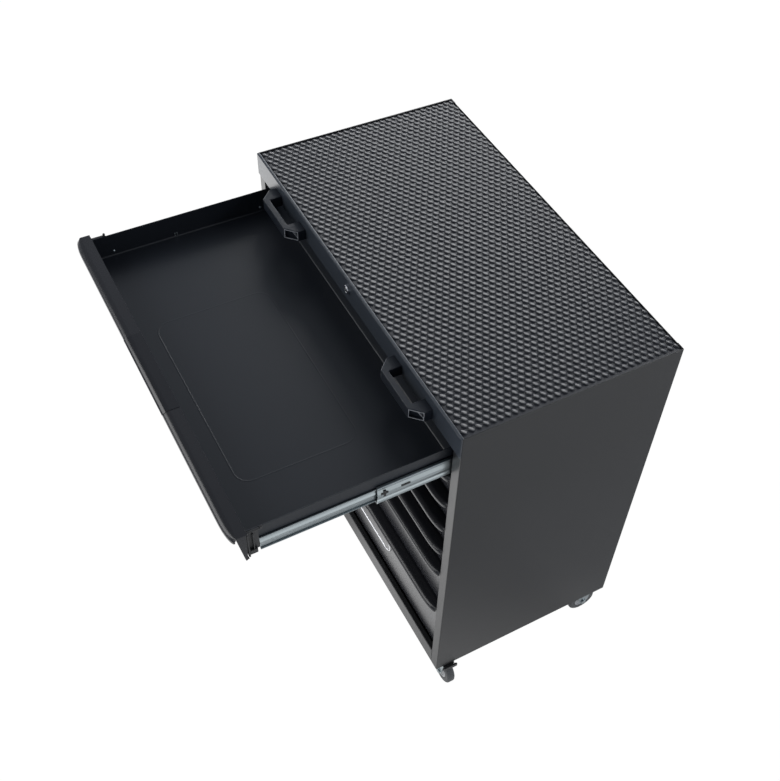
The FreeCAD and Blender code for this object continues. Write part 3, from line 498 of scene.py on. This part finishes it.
def bow_handle(node):
    # Bent bar on two feet; gives the handle and, apart, the rims of its hollows, drawn pale as a
    # painted highlight.
    low, high = span(node)
    centre = (low.x + high.x) / 2
    half = (high.x - low.x) / 2
    back, tip = high.y, low.y
    gap_y = tip + bar_thickness
    outer = [(half, back), (half, back - shoulder), (bar_half, tip)]
    inner = [(gap_half, back), (gap_half, gap_y + gap_chamfer), (gap_half - gap_chamfer, gap_y)]
    mesh = bmesh.new()
    rows = []
    for z in (low.z, high.z):
        right = [mesh.verts.new((centre + x, y, z)) for x, y in outer]
        left = [mesh.verts.new((centre - x, y, z)) for x, y in reversed(outer)]
        inside_right = [mesh.verts.new((centre + x, y, z)) for x, y in inner]
        inside_left = [mesh.verts.new((centre - x, y, z)) for x, y in reversed(inner)]
        rows.append((right + left, inside_right + inside_left))
    (out0, in0), (out1, in1) = rows
    count = len(out0)
    for i in range(count - 1):
        mesh.faces.new((out0[i], out0[i + 1], out1[i + 1], out1[i]))
        mesh.faces.new((in0[i + 1], in0[i], in1[i], in1[i + 1]))
        mesh.faces.new((out0[i + 1], out0[i], in0[i], in0[i + 1]))
        mesh.faces.new((out1[i], out1[i + 1], in1[i + 1], in1[i]))
    for i in (0, count - 1):
        mesh.faces.new((out0[i], out1[i], in1[i], in0[i]))
    bmesh.ops.recalc_face_normals(mesh, faces=mesh.faces)
    inside = [edge for edge in mesh.edges if len(edge.link_faces) == 2]
    sharp = [edge for edge in inside if edge.calc_face_angle() > sharp_angle]
    soften(mesh, sharp, handle_rounding, 3)
    mesh.normal_update()
    slanted = [face for face in mesh.faces if slant[0] < abs(face.normal.x) < slant[1]]
    pale = []
    for face in [face for face in slanted if face.calc_area() > least_corner_area]:
        corners = [vert.co.copy() for vert in face.verts]
        pale.append(rim_frame(corners, face.normal.copy()))
        bmesh.ops.inset_individual(mesh, faces=[face], thickness=recess_margin, depth=0.0)
        bmesh.ops.inset_individual(mesh, faces=[face], thickness=recess_draft, depth=-recess_depth)
    return mesh, joined(*pale)


for side in ("left", "right"):
    node = "grab_handle_" + side
    handle, rims = bow_handle(node)
    piece("bow_handle_" + side, handle, handle_finish, "black_plastic", "root", node)
    # The rims and ribs are light grey: a painted highlight on the black nylon.
    piece("bow_handle_highlight_rims_" + side, rims, rim_highlight_finish, "black_plastic", "root")

# Lock.
# A cylinder lock with a chrome-plated ring; its plug turns a zinc-plated cam.
# It is clamped in the header rail by a nut behind the sheet.

# Chrome plated over nickel: nearly a mirror.
chrome = new_material("chrome_plate", "D8D9DC", 0.12, 1.0)
# Bright zinc plated on drawn steel: pale and cool, with dull streaks 3 mm wide along the draw.
zinc = new_material("bright_zinc_plate", "ABB4B7", 0.28, 1.0)
tree, shader = nodes_of(zinc)
place = add(tree, "ShaderNodeTexCoord").outputs["Object"]
stretch = add(tree, "ShaderNodeMapping", {"Scale": (300.0, 12.0, 300.0)}, {"Vector": place})
streaks = {"Scale": 1.0, "Detail": 4.0}
drawn = add(tree, "ShaderNodeTexNoise", streaks, {"Vector": stretch.outputs[0]})
dulling = {"To Min": 0.22, "To Max": 0.42}
wear = add(tree, "ShaderNodeMapRange", dulling, {"Value": drawn.outputs["Fac"]})
tree.links.new(wear.outputs[0], shader.inputs["Roughness"])

low, high = span("lock_housing")
plug_low, plug_high = span("lock_plug")
lock_z = (plug_low.z + plug_high.z) / 2
rail_face = rail_low.y
ring_front = low.y - rail_face
barrel_end = high.y - rail_face
bore = 6.05
barrel_radius = 8.5
ring_radius = 10.0
housing = [
    (bore, ring_front + 0.8),
    (bore + 0.55, ring_front),
    (8.6, ring_front),
    (ring_radius, ring_front + 1.2),
    (ring_radius, 0.0),
    (barrel_radius, 0.0),
    (barrel_radius, barrel_end),
    (bore, barrel_end),
    (bore, ring_front + 0.8),
]
ring = turned(housing, (0, rail_face, lock_z), (0, 1, 0), 48)
piece("lock_ring", ring, chrome, "chrome_plate", "root", "lock_housing")
plug_radius = 6.0
stem_radius = 3.0
stem_length = 4.0
plug_profile = [
    (0, plug_low.y),
    (plug_radius - 0.5, plug_low.y),
    (plug_radius, plug_low.y + 0.5),
    (plug_radius, plug_high.y - stem_length),
    (stem_radius, plug_high.y - stem_length),
    (stem_radius, plug_high.y),
    (0, plug_high.y),
]
plug = turned(plug_profile, (0, 0, lock_z), (0, 1, 0), 40)
piece("lock_plug_turned", plug, chrome, "chrome_plate", "lock", "lock_plug")
# Matt black on a thin plate in the plug's face: painted shade for the dark inside the keyway,
# which makes it read as an opening.
dark = new_material("painted_keyway_shade", "0B0B0C", 0.7)
keyway_low = (-0.8, plug_low.y - 0.05, lock_z - 3.5)
keyway_high = (0.8, plug_low.y + 0.02, lock_z + 3.5)
piece("lock_keyway_painted_shade", block(keyway_low, keyway_high), dark, "chrome_plate", "lock")
finished("lock_cam", zinc)

# Drawer fronts.
# Each is roll-formed sheet: a flat ledge, a ridge, a nose that slopes out and a lip turned down.
# Below it the face slants back and closes at both ends, which leaves room for fingertips.
front_finish = powder_coat("charcoal_front_coat", "212226", "26272B", 0.26)
front_sheet = 1.5
nose_drop = 7.2
nose_depth = 14.8
nose_blend = 1.3
ridge_rise = 6.4
face_slant = 12.5
face_set_back = 14.2
face_top_rise = 4.6
nose_end_length = 52.0
nose_end_set_back = 10.3
nose_end_cuts = 9


def plan_setback(x, half):
    # How far the nose is set back at x: straight, then a quarter ellipse at each end.
    reach = min(max((abs(x) - (half - nose_end_length)) / nose_end_length, 0.0), 1.0)
    return nose_end_set_back * (1 - math.sqrt(1 - reach * reach))


def front_lines(low, high):
    # The front's foremost line and the heights of its nose and its ridge.
    nose = high.z - nose_drop
    return low.y, nose, nose + ridge_rise


def pull(low, high):
    # The pull in its own section, from the ledge's inner edge to the lip.
    tip, nose, ridge = front_lines(low, high)
    section = [
        (tip + 35.5, ridge),
        (tip + 15.5, ridge),
        (tip + 8.0, ridge - 1.4),
        (tip + 2.6, nose + 2.0),
        (tip, nose - 1.4),
        (tip + 0.9, nose - 6.0),
    ]
    points, sweep = across(section, low.x, high.x)
    mesh = folded(points, sweep, front_sheet, 2.6, 3)
    half = high.x
    for step in range(nose_end_cuts):
        x = half - nose_end_length * (1 - step / nose_end_cuts) ** 2
        for at in (x, -x):
            everything = mesh.verts[:] + mesh.edges[:] + mesh.faces[:]
            bmesh.ops.bisect_plane(mesh, geom=everything, plane_co=(at, 0, 0), plane_no=(1, 0, 0))
    for vert in mesh.verts:
        share = (tip + nose_depth - vert.co.y) / nose_depth
        if share > 0:
            vert.co.y += plan_setback(vert.co.x, half) * min(share * nose_blend, 1.0)
    return mesh


def face(low, high):
    # The slanted face below the nose, closed by a cheek at each end.
    tip, nose, _ = front_lines(low, high)
    top = nose + face_top_rise
    face_y = tip + face_set_back
    foot_y = face_y + face_slant
    section = [(face_y, top), (foot_y, low.z), (foot_y + 7.0, low.z)]
    points, sweep = across(section, low.x + front_sheet, high.x - front_sheet)
    sheet = folded(points, sweep, front_sheet, 2.0)
    cheek_x = high.x - front_sheet
    cheek = [
        (cheek_x, face_y, top),
        (cheek_x, foot_y + 0.2, low.z),
        (cheek_x, foot_y + 3.6, low.z + 0.4),
        (cheek_x, tip + 33.0, nose - 27.8),
        (cheek_x, tip + 33.2, top),
    ]
    end = prism(cheek, Vector((front_sheet, 0, 0)), 0.5)
    return joined(sheet, both_sides(end))


trim_half = 107.0
trim_sheet = 0.8


def trim(low, high):
    # Clip-on cover in the middle of the pull.
    tip, nose, ridge = front_lines(low, high)
    section = [
        (tip + 35.4, ridge + trim_sheet),
        (tip + 15.3, ridge + trim_sheet),
        (tip + 7.6, ridge - 0.6),
        (tip + 2.0, nose + 2.6),
        (tip - 0.3, nose + 0.2),
    ]
    points, sweep = across(section, -trim_half, trim_half)
    return folded(points, sweep, trim_sheet, 2.4, 3)


# Gloss black moulding: a sharper highlight than the powder coat beside it.
trim_finish = new_material("gloss_black_trim", "222327", 0.18)
drawer_count = 7
for number in range(1, drawer_count + 1):
    body = "drawer_%d" % number
    low, high = span(body + "_front")
    front = joined(pull(low, high), face(low, high))
    piece(body + "_pull", front, front_finish, "front_paint", body, body + "_front")
    piece(body + "_trim", trim(low, high), trim_finish, "front_paint", body)

# Drawer trays.
# Folded from 1 mm sheet with rounded corners and a bead pressed round the floor.
# The side walls are turned over at the top so that no raw edge is left.
tray_finish = powder_coat("charcoal_tray_coat", "1C2026", "20242B", 0.36)
tray_sheet = 1.0
bead_low = (-172.0, 42.0)
bead_high = (281.0, 291.0)
bead_width = 5.0
bead_height = 0.22
bead_corner = 30.0
tray_corner = 5.0
front_strip_rise = 3.5
wall_face_depth = 1.1
screw_head = [(0.0, -2.0), (1.5, -1.8), (2.7, -1.1), (3.3, 0.0)]
screw_places = (41.5, 383.5)
hook_slot_place = 181.9


def rounded_outline(low_x, high_x, low_y, high_y, radius, z, steps=6):
    corners = [
        (high_x - radius, high_y - radius, 0),
        (low_x + radius, high_y - radius, 90),
        (low_x + radius, low_y + radius, 180),
        (high_x - radius, low_y + radius, 270),
    ]
    points = []
    for x, y, start in corners:
        for step in range(steps + 1):
            turn = math.radians(start + 90 * step / steps)
            points.append((x + radius * math.cos(turn), y + radius * math.sin(turn), z))
    return points


def bridged(mesh, rings):
    # Closes the strip between each closed ring of corners and the next.
    for one, two in zip(rings, rings[1:]):
        for i in range(len(one)):
            mesh.faces.new((one[i - 1], one[i], two[i], two[i - 1]))
    return mesh


def loop_wall(outline, section):
    # Sweeps a section of (inward, up) pairs round a closed outline.
    mesh = bmesh.new()
    count = len(outline)
    rings = []
    for inward, up in section:
        ring = []
        for i in range(count):
            before = Vector(outline[i - 1])
            after = Vector(outline[(i + 1) % count])
            along = (after - before).normalized()
            point = Vector(outline[i]) + Vector((-along.y, along.x, 0)) * inward
            point.z += up
            ring.append(mesh.verts.new(point))
        rings.append(ring)
    return bridged(mesh, rings)


def tray(low, high, wall_top):
    # Inside and outside skins of the tray, joined over the rolled rim.
    floor = low.z + tray_sheet
    section = [
        (20.0, low.z),
        (2.0, low.z),
        (0.0, low.z + 2.0),
        (0.0, wall_top - 1.1),
        (0.3, wall_top - 0.3),
        (1.1, wall_top),
        (1.9, wall_top - 0.3),
        (2.2, wall_top - 1.1),
        (2.0, wall_top - 5.0),
        (1.1, wall_top - 5.6),
        (1.1, floor + 3.2),
        (1.5, floor + 1.6),
        (2.7, floor + 0.4),
        (4.3, floor),
        (20.0, floor),
    ]
    mesh = bmesh.new()
    rings = []
    for inward, up in section:
        low_x, high_x = low.x + inward, high.x - inward
        low_y, high_y = low.y + inward, high.y - inward
        ring = rounded_outline(low_x, high_x, low_y, high_y, max(tray_corner - inward, 0.6), up)
        rings.append([mesh.verts.new(point) for point in ring])
    bridged(mesh, rings)
    mesh.faces.new(rings[0])
    mesh.faces.new(rings[-1])
    return mesh


def floor_bead(low, high):
    # Low bead pressed up round the middle of the floor.
    floor = low.z + tray_sheet
    low_y, high_y = low.y + bead_low[1], low.y + bead_high[1]
    outline = rounded_outline(bead_low[0], bead_high[0], low_y, high_y, bead_corner, 0.0, 8)
    section = [
        (-bead_width / 2, floor - 0.2),
        (-bead_width / 4, floor + bead_height * 0.75),
        (0.0, floor + bead_height),
        (bead_width / 4, floor + bead_height * 0.75),
        (bead_width / 2, floor - 0.2),
    ]
    return loop_wall(outline, section)


def wall_fixings(low, high):
    # Screws that hold the slide, and the hook slot between them, seen on the wall's inside.
    face_x = high.x - wall_face_depth
    parts = [
        turned(screw_head, (face_x, low.y + along, low.z + 12.0), (1, 0, 0), 16)
        for along in screw_places
    ]
    slot_y = low.y + hook_slot_place
    for along in (-4.0, 1.0):
        plate_low = (face_x - 1.2, slot_y + along, low.z + 4.2)
        plate_high = (face_x, slot_y + along + 3.0, low.z + 12.4)
        parts.append(block(plate_low, plate_high, 0.5, 2))
    return both_sides(joined(*parts))


for number in range(1, drawer_count + 1):
    body = "drawer_%d" % number
    low, high = span(body + "_box")
    wall_top = high.z - front_strip_rise
    strip_low = (low.x + 1.0, low.y, wall_top - 6.0)
    strip_high = (high.x - 1.0, low.y + 1.0, high.z)
    strip = block(strip_low, strip_high, 0.2)
    whole = joined(tray(low, high, wall_top), floor_bead(low, high), strip)
    piece(body + "_tray", whole, tray_finish, "drawer_paint", body, body + "_box")
    piece(body + "_wall_fixings", wall_fixings(low, high), zinc, "zinc_steel", body)

# End brackets.
# Moulded corner pieces that lock each front to its tray and guide it between the posts.

# Black plastic off a lightly grained mould: duller than the coat beside it.
bracket_finish = new_material("black_moulded_plastic", "292A2C", 0.45)
bracket_inner = 416.5
bracket_outer = 426.2
bracket_set_back = 33.8
bracket_drop = 66.0
knob_profile = [(0, 0), (2.4, 0), (2.8, 3.4), (1.8, 4.8), (0, 4.8)]


def bracket(front_low, front_high):
    # A plate along the tray with its cheek, cap, locating knob, foot and rib.
    tip, nose, _ = front_lines(front_low, front_high)
    inner, outer = bracket_inner, bracket_outer
    front = tip + bracket_set_back
    lower, upper = nose - bracket_drop, nose + 1.0
    plate = block((inner, front, lower + 9.0), (inner + 3.0, tip + 57.6, upper), 0.5)
    cheek = block((inner, front, lower), (outer, tip + 37.0, upper), 0.8)
    cap = block((inner, front, upper - 2.4), (outer - 5.0, tip + 66.0, upper + 0.4), 0.8)
    knob = turned(knob_profile, (inner + 2.6, tip + 63.6, upper), (0, 0, 1), 16)
    foot = block((inner, tip + 37.0, lower + 4.0), (outer - 1.0, tip + 52.0, lower + 16.0), 1.5)
    rib = block((inner, tip + 45.0, lower + 16.0), (outer - 2.0, tip + 47.0, upper - 4.0), 0.4)
    return joined(plate, cheek, cap, knob, foot, rib)


for number in range(1, drawer_count + 1):
    body = "drawer_%d" % number
    low, high = span(body + "_front")
    brackets = both_sides(bracket(low, high))
    piece(body + "_end_brackets", brackets, bracket_finish, "black_plastic", body)

# Ball slides.
# Each member is a cold-rolled channel whose flanges are grooved as ball races.
# They are zinc plated; the middle member carries a black stop, and its slot is drawn as a black
# block of painted shade.
slide_sheet = 1.2
slide_reach = 417.8
inner_web = 416.4
middle_height = 45.0
outer_height = 53.0
race_lip = 2.4
rivet_head = [(0, 1.5), (2.2, 1.3), (3.2, 0.0), (0, 0.0)]
rivet_places = (25.0, 56.0, 187.0, 330.0)
cage_x = (420.2, 423.2)
cage_y = (216.0, 390.0)
cage_height = 2.4


def rolled(section, low, high, fold):
    # Draws a section of (x, z) pairs along the whole length of the member.
    points = [(x, low.y, height) for x, height in section]
    return folded(points, Vector((0, high.y - low.y, 0)), slide_sheet, fold, 2)


def cabinet_member(low, high, z):
    # Web against the side panel with a raised band along it, and two plain flanges.
    half = outer_height / 2
    web = high.x
    section = [
        (slide_reach, z + half - race_lip),
        (slide_reach, z + half),
        (web - 2.0, z + half),
        (web, z + half - 2.0),
        (web, z + half - 8.0),
        (web - 1.2, z + half - 9.6),
        (web - 1.2, z - half + 9.6),
        (web, z - half + 8.0),
        (web, z - half + 2.0),
        (web - 2.0, z - half),
        (slide_reach, z - half),
        (slide_reach, z - half + race_lip),
    ]
    return rolled(section, low, high, 0.7)


def drawer_member(low, high, z):
    # Web against the tray with a raised band along it, and two grooved flanges.
    half = (high.z - low.z) / 2
    web = inner_web
    section = [
        (high.x, z - half + 2.2),
        (high.x, z - half),
        (web + 1.2, z - half),
        (web, z - half + 1.4),
        (web, z - half + 3.4),
        (web + 0.5, z - 13.0),
        (web + 0.9, z - 8.0),
        (web + 1.4, z - 2.0),
        (web + 2.2, z + 2.5),
        (web + 0.8, z + 7.5),
        (web, z + 12.0),
        (web, z + half - 1.4),
        (web + 1.2, z + half),
        (high.x, z + half),
        (high.x, z + half - 2.2),
    ]
    return rolled(section, low, high, 0.6)


def middle_member(low, high, z):
    # Two rounded ball races along the edges and a raised band between them.
    half = middle_height / 2
    outer, inner = high.x, slide_reach
    section = [
        (inner, z + half - race_lip),
        (inner, z + half),
        (outer - 3.2, z + half),
        (outer - 2.0, z + half - 1.2),
        (outer - 2.8, z + 17.2),
        (outer - 2.4, z + 15.0),
        (outer - 0.6, z + 6.0),
        (outer, z - 1.0),
        (outer - 2.0, z - 9.5),
        (outer - 0.6, z - 13.5),
        (outer, z - 18.5),
        (outer - 2.2, z - half),
        (inner, z - half),
        (inner, z - half + race_lip),
    ]
    return rolled(section, low, high, 0.6)


for number in range(1, drawer_count + 1):
    drawer = "drawer_%d" % number
    low, high = span(drawer + "_runners")
    z = (low.z + high.z) / 2
    member = drawer_member(low, high, z)
    rivets = [
        turned(rivet_head, (slide_reach, low.y + along, z - 6.0), (1, 0, 0), 16)
        for along in rivet_places
    ]
    member = both_sides(joined(member, *rivets))
    piece(drawer + "_inner_slides", member, zinc, "zinc_steel", drawer, drawer + "_runners")

    low, high = span(drawer + "_middle_slides")
    body = drawer + "_middle"
    member = middle_member(low, high, z)
    cages = []
    for foot in (z + middle_height / 2 + 0.1, z - 25.0):
        cage_low = (cage_x[0], low.y + cage_y[0], foot)
        cage_high = (cage_x[1], low.y + cage_y[1], foot + cage_height)
        cages.append(block(cage_low, cage_high))
    member = both_sides(joined(member, *cages))
    piece(drawer + "_mid_slides", member, zinc, "zinc_steel", body, drawer + "_middle_slides")
    stops = [
        block((high.x - 2.6, low.y + 7.0, z + 3.0), (high.x + 0.5, low.y + 22.0, z + 8.0), 0.4),
        block((high.x - 3.0, low.y + 12.0, z - 4.0), (high.x + 0.5, low.y + 17.5, z + 13.0), 0.4),
        # This third black block is painted shade for the slot, which is an opening and not a part.
        block((high.x - 2.4, low.y + 49.0, z + 4.0), (high.x + 0.1, low.y + 68.0, z + 8.6), 0.2),
    ]
    black = both_sides(joined(*stops))
    piece(drawer + "_slide_stops_and_slot_shade", black, bracket_finish, "black_plastic", body)

low, high = span("cabinet_slide_members")
members = []
for number in range(1, drawer_count + 1):
    inner_low, inner_high = span("drawer_%d_runners" % number)
    z = (inner_low.z + inner_high.z) / 2
    members.append(cabinet_member(low, high, z))
outer_members = both_sides(joined(*members))
piece("outer_slides", outer_members, zinc, "zinc_steel", "root", "cabinet_slide_members")

# Badge plate.
# Blank nameplate with a chrome rim, lying on the slanted face of the lowest drawer.
badge_low, badge_high = span("badge_plate")
badge_height = badge_high.z - badge_low.z
badge_thickness = 2.2
badge_lean = math.atan2(badge_high.y - badge_low.y - badge_thickness, badge_height)
arc_steps = 16


def round_ended(width, height, inward=0.0):
    # Outline with fully round ends, as (x, z) pairs, drawn in by a margin.
    radius = height / 2
    reach = width / 2 - radius
    points = []
    for centre, start in ((reach, -90), (-reach, 90)):
        for step in range(arc_steps + 1):
            turn = math.radians(start + 180 * step / arc_steps)
            x = centre + (radius - inward) * math.cos(turn)
            points.append((x, (radius - inward) * math.sin(turn)))
    return points


def stadium(width, height, depth_low, depth_high, bevel):
    # A plate with fully round ends.
    points = [(x, depth_high, z) for x, z in round_ended(width, height)]
    return prism(points, Vector((0, depth_low - depth_high, 0)), bevel, 3)


def on_badge(mesh):
    # Leans a flat shape back and lays it on the drawer's slanted face.
    centre = (badge_low + badge_high) / 2
    turn = Matrix.Rotation(badge_lean, 3, "X")
    bmesh.ops.rotate(mesh, cent=(0, 0, 0), matrix=turn, verts=mesh.verts)
    bmesh.ops.translate(mesh, vec=centre, verts=mesh.verts)
    return mesh


def rim_ring(width, height, thickness, steps=8):
    # Half-round rim swept round the plate's outline.
    mesh = bmesh.new()
    rings = []
    for step in range(steps + 1):
        turn = math.pi * step / steps
        inward = thickness / 2 * (1 - math.cos(turn))
        rise = -thickness / 2 * math.sin(turn)
        outline = round_ended(width, height, inward)
        rings.append([mesh.verts.new((x, rise, z)) for x, z in outline])
    return bridged(mesh, rings)


rim = rim_ring(400.0, badge_height, 4.6)
backing = stadium(398.0, badge_height - 2.0, -0.2, 1.0, 0.2)
badge = on_badge(joined(rim, backing))
piece("badge_rim", badge, chrome, "chrome_plate", "drawer_7", "badge_plate")
# Stoved enamel: near black, glossier than the coat round it.
field_finish = new_material("badge_field_enamel", "1B1C1F", 0.22)
field = stadium(392.0, badge_height - 8.0, -0.6, -0.1, 0.1)
piece("badge_field", on_badge(field), field_finish, "chrome_plate", "drawer_7")

# Casters.
# Swivelling forks in front and rigid housings behind, pressed from zinc-plated steel.
# The wheels have grey rubber tyres on moulded hubs; the front ones have a foot brake.
tyre_finish = rubber("grey_rubber_tyre", "5E5F60", 0.55, 600.0)
# Hard moulded plastic: pale grey with a soft shine.
hub_finish = new_material("pale_hub_plastic", "C9CACB", 0.35)
for node in ("front_caster_plates", "rear_caster_frames", "fasteners"):
    finished(node, zinc, 0.6)

wheel_radius = 38.0
hub_radius = 21.5
tyre_half = 11.0
sleeve_half = 12.6
bolt_bore = 4.05
tyre_profile = [
    (hub_radius, -tyre_half + 2.0),
    (hub_radius + 1.5, -tyre_half + 0.4),
    (wheel_radius - 8.0, -tyre_half),
    (wheel_radius - 3.5, -tyre_half + 0.6),
    (wheel_radius - 0.8, -tyre_half + 2.8),
    (wheel_radius, -tyre_half + 6.0),
    (wheel_radius, tyre_half - 6.0),
    (wheel_radius - 0.8, tyre_half - 2.8),
    (wheel_radius - 3.5, tyre_half - 0.6),
    (wheel_radius - 8.0, tyre_half),
    (hub_radius + 1.5, tyre_half - 0.4),
    (hub_radius, tyre_half - 2.0),
    (hub_radius, -tyre_half + 2.0),
]
hub_half = [
    (7.5, 4.0),
    (17.5, 3.4),
    (19.0, 0.8),
    (hub_radius, 0.8),
]
hub_profile = [
    (bolt_bore, -sleeve_half),
    (7.5, -sleeve_half),
    *[(radius, -tyre_half + inset) for radius, inset in hub_half],
    *[(radius, tyre_half - inset) for radius, inset in reversed(hub_half)],
    (7.5, sleeve_half),
    (bolt_bore, sleeve_half),
    (bolt_bore, -sleeve_half),
]
for end in ("front", "rear"):
    for side in ("left", "right"):
        name = end + "_tyre_" + side
        low, high = span(name)
        centre = (low + high) / 2
        axis = (0, 1, 0) if end == "front" else (1, 0, 0)
        body = end + "_wheel_" + side
        tyre = turned(tyre_profile, centre, axis, 56)
        piece(name + "_moulded", tyre, tyre_finish, "wheel_tread", body, name, smooth=25)
        hub_name = end + "_hub_" + side
        hub = turned(hub_profile, centre, axis, 40)
        piece(hub_name + "_moulded", hub, hub_finish, "hub_plastic", body, hub_name)

for side in ("left", "right"):
    finished("front_fork_" + side, zinc, 0.6)
    finished("brake_pedal_" + side, bracket_finish, 0.8)

# Floor and light.
# A pale floor, white to the camera, that glows onto the steel with painted light, strongest at the
# front left.
# Large soft lamps stand front left and back left, and a small one behind on the right.

# Painted board, half matt: a pale grey that keeps the shadow and bounces light upwards.
floor_finish = new_material("studio_floor", "C4C4C4", 0.6)
tree, shader = nodes_of(floor_finish)
# To every ray but the camera's the floor also glows, though it is no lamp: painted light, with
# painted shadow laid into it below.
path = add(tree, "ShaderNodeLightPath")
seen = path.outputs["Is Camera Ray"]
strength = add(tree, "ShaderNodeMapRange", {"To Min": 2.0, "To Max": 1.035}, {"Value": seen})
glow_colour = {"Color": linear("FFFFFF")}
glow = add(tree, "ShaderNodeEmission", glow_colour, {"Strength": strength.outputs[0]})
place = add(tree, "ShaderNodeTexCoord").outputs["Object"]
# Painted light in the glow, strongest at the front left and dimming to the back right, where the
# cabinet's shadow is painted.
front_left = {"operation": "DOT_PRODUCT", 1: (-0.75, -0.45, 0.0)}
toward = add(tree, "ShaderNodeVectorMath", front_left, {0: place})
lit_range = {"From Min": -0.55, "From Max": 0.7, "To Min": 0.05, "To Max": 1.0}
lit = add(tree, "ShaderNodeMapRange", lit_range, {"Value": toward.outputs["Value"]})
# A painted shadow in the glow at the cabinet's foot on the left, under the open drawer.
patch_centre = {"operation": "DISTANCE", 1: (-0.4, -0.3, 0.0)}
foot = add(tree, "ShaderNodeVectorMath", patch_centre, {0: place})
patch_range = {"From Min": 0.2, "From Max": 0.46, "To Min": 0.1, "To Max": 1.0}
shade = add(tree, "ShaderNodeMapRange", patch_range, {"Value": foot.outputs["Value"]})
left_sockets = {0: lit.outputs[0], 1: shade.outputs[0]}
left = add(tree, "ShaderNodeMath", {"operation": "MULTIPLY"}, left_sockets)
# A weaker patch of painted light in the glow well away to the right.
split = add(tree, "ShaderNodeSeparateXYZ", None, {"Vector": place})
right_range = {"From Min": 1.15, "From Max": 1.9, "To Min": 0.0, "To Max": 0.5}
far_right = add(tree, "ShaderNodeMapRange", right_range, {"Value": split.outputs["X"]})
bright_sockets = {0: left.outputs[0], 1: far_right.outputs[0]}
bright = add(tree, "ShaderNodeMath", {"operation": "MAXIMUM"}, bright_sockets)
share_sockets = {"Value": seen, "To Min": bright.outputs[0]}
share = add(tree, "ShaderNodeMapRange", {"To Max": 0.97}, share_sockets)
blend_sockets = {0: share.outputs[0], 1: shader.outputs[0], 2: glow.outputs[0]}
blend = add(tree, "ShaderNodeMixShader", None, blend_sockets)
tree.links.new(blend.outputs[0], tree.nodes["Material Output"].inputs["Surface"])
floor_mesh = bmesh.new()
bmesh.ops.create_grid(floor_mesh, x_segments=1, y_segments=1, size=14.0)
floor_data = bpy.data.meshes.new("studio_floor")
floor_mesh.to_mesh(floor_data)
floor_mesh.free()
floor_data.materials.append(floor_finish)
floor = bpy.data.objects.new("studio_floor", floor_data)
bpy.context.collection.objects.link(floor)
floor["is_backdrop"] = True

# The room round the floor: white to the camera, and on the object a cool fill that is
# stronger from behind and from low down.
world = bpy.data.worlds.new("studio_world")
bpy.context.scene.world = world
world.use_nodes = True
tree = world.node_tree
path = add(tree, "ShaderNodeLightPath")
backdrop = {"Color": linear("FFFFFF"), "Strength": 1.0}
seen = add(tree, "ShaderNodeBackground", backdrop)
place = add(tree, "ShaderNodeTexCoord").outputs["Generated"]
behind = {"operation": "DOT_PRODUCT", 1: (-0.3, 0.95, 0.0)}
toward = add(tree, "ShaderNodeVectorMath", behind, {0: place})
behind_range = {"From Min": -0.3, "From Max": 0.7, "To Min": 0.35, "To Max": 1.15}
around = add(tree, "ShaderNodeMapRange", behind_range, {"Value": toward.outputs["Value"]})
split = add(tree, "ShaderNodeSeparateXYZ", None, {"Vector": place})
height_range = {"From Min": 0.0, "From Max": 0.6, "To Min": 1.6, "To Max": 0.4}
rise = add(tree, "ShaderNodeMapRange", height_range, {"Value": split.outputs["Z"]})
fill_sockets = {0: around.outputs[0], 1: rise.outputs[0]}
fill_strength = add(tree, "ShaderNodeMath", {"operation": "MULTIPLY"}, fill_sockets)
fill = tree.nodes["Background"]
fill.inputs["Color"].default_value = linear("E6EDF8")
tree.links.new(fill_strength.outputs[0], fill.inputs["Strength"])
blend_sockets = {0: path.outputs["Is Camera Ray"], 1: fill.outputs[0], 2: seen.outputs[0]}
blend = add(tree, "ShaderNodeMixShader", None, blend_sockets)
tree.links.new(blend.outputs[0], tree.nodes["World Output"].inputs["Surface"])


def softbox(name, place, aim, size, power):
    # A lamp behind a square of white cloth, aimed at a point; sizes in metres, power in watts.
    lamp = bpy.data.lights.new(name, "AREA")
    lamp.shape = "RECTANGLE"
    lamp.size, lamp.size_y = size
    lamp.energy = power
    box = bpy.data.objects.new(name, lamp)
    bpy.context.collection.objects.link(box)
    box.location = place
    box.rotation_mode = "QUATERNION"
    box.rotation_quaternion = (Vector(aim) - Vector(place)).to_track_quat("-Z", "Y")


softbox("front_softbox", (-1.2, -2.8, 2.6), (-0.1, -0.4, 0.7), (2.4, 1.4), 36.0)
softbox("back_softbox", (-3.6, 3.1, 3.4), (0, 0, 1.0), (3.4, 1.8), 125.0)
softbox("edge_softbox", (1.8, 1.7, 3.2), (-0.3, -0.4, 0.9), (0.6, 0.6), 14.0)

# Camera.
# A long lens on a tall stand, a little tilted, its frame shifted to the photograph's.
# It looks down at the cabinet's right-hand front corner, as the photograph was taken.
camera_data = bpy.data.cameras.new("camera")
camera_data.sensor_width = 36.0
camera_data.lens = 49.23
camera_data.shift_x = -0.0663
camera_data.shift_y = 0.0472
camera = bpy.data.objects.new("camera", camera_data)
bpy.context.collection.objects.link(camera)
azimuth = math.radians(56.57)
elevation = math.radians(50.90)
roll = math.radians(5.20)
forward = Vector(
    (
        -math.sin(azimuth) * math.cos(elevation),
        math.cos(azimuth) * math.cos(elevation),
        -math.sin(elevation),
    )
)
level = forward.cross(Vector((0, 0, 1))).normalized()
upward = level.cross(forward)
right = math.cos(roll) * level + math.sin(roll) * upward
up = -math.sin(roll) * level + math.cos(roll) * upward
camera.rotation_mode = "QUATERNION"
camera.rotation_quaternion = Matrix((right, up, -forward)).transposed().to_quaternion()
camera.location = (1.4227, -0.9342, 2.4889)
bpy.context.scene.camera = camera
bpy.context.scene.view_settings.view_transform = "Standard"

low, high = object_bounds()
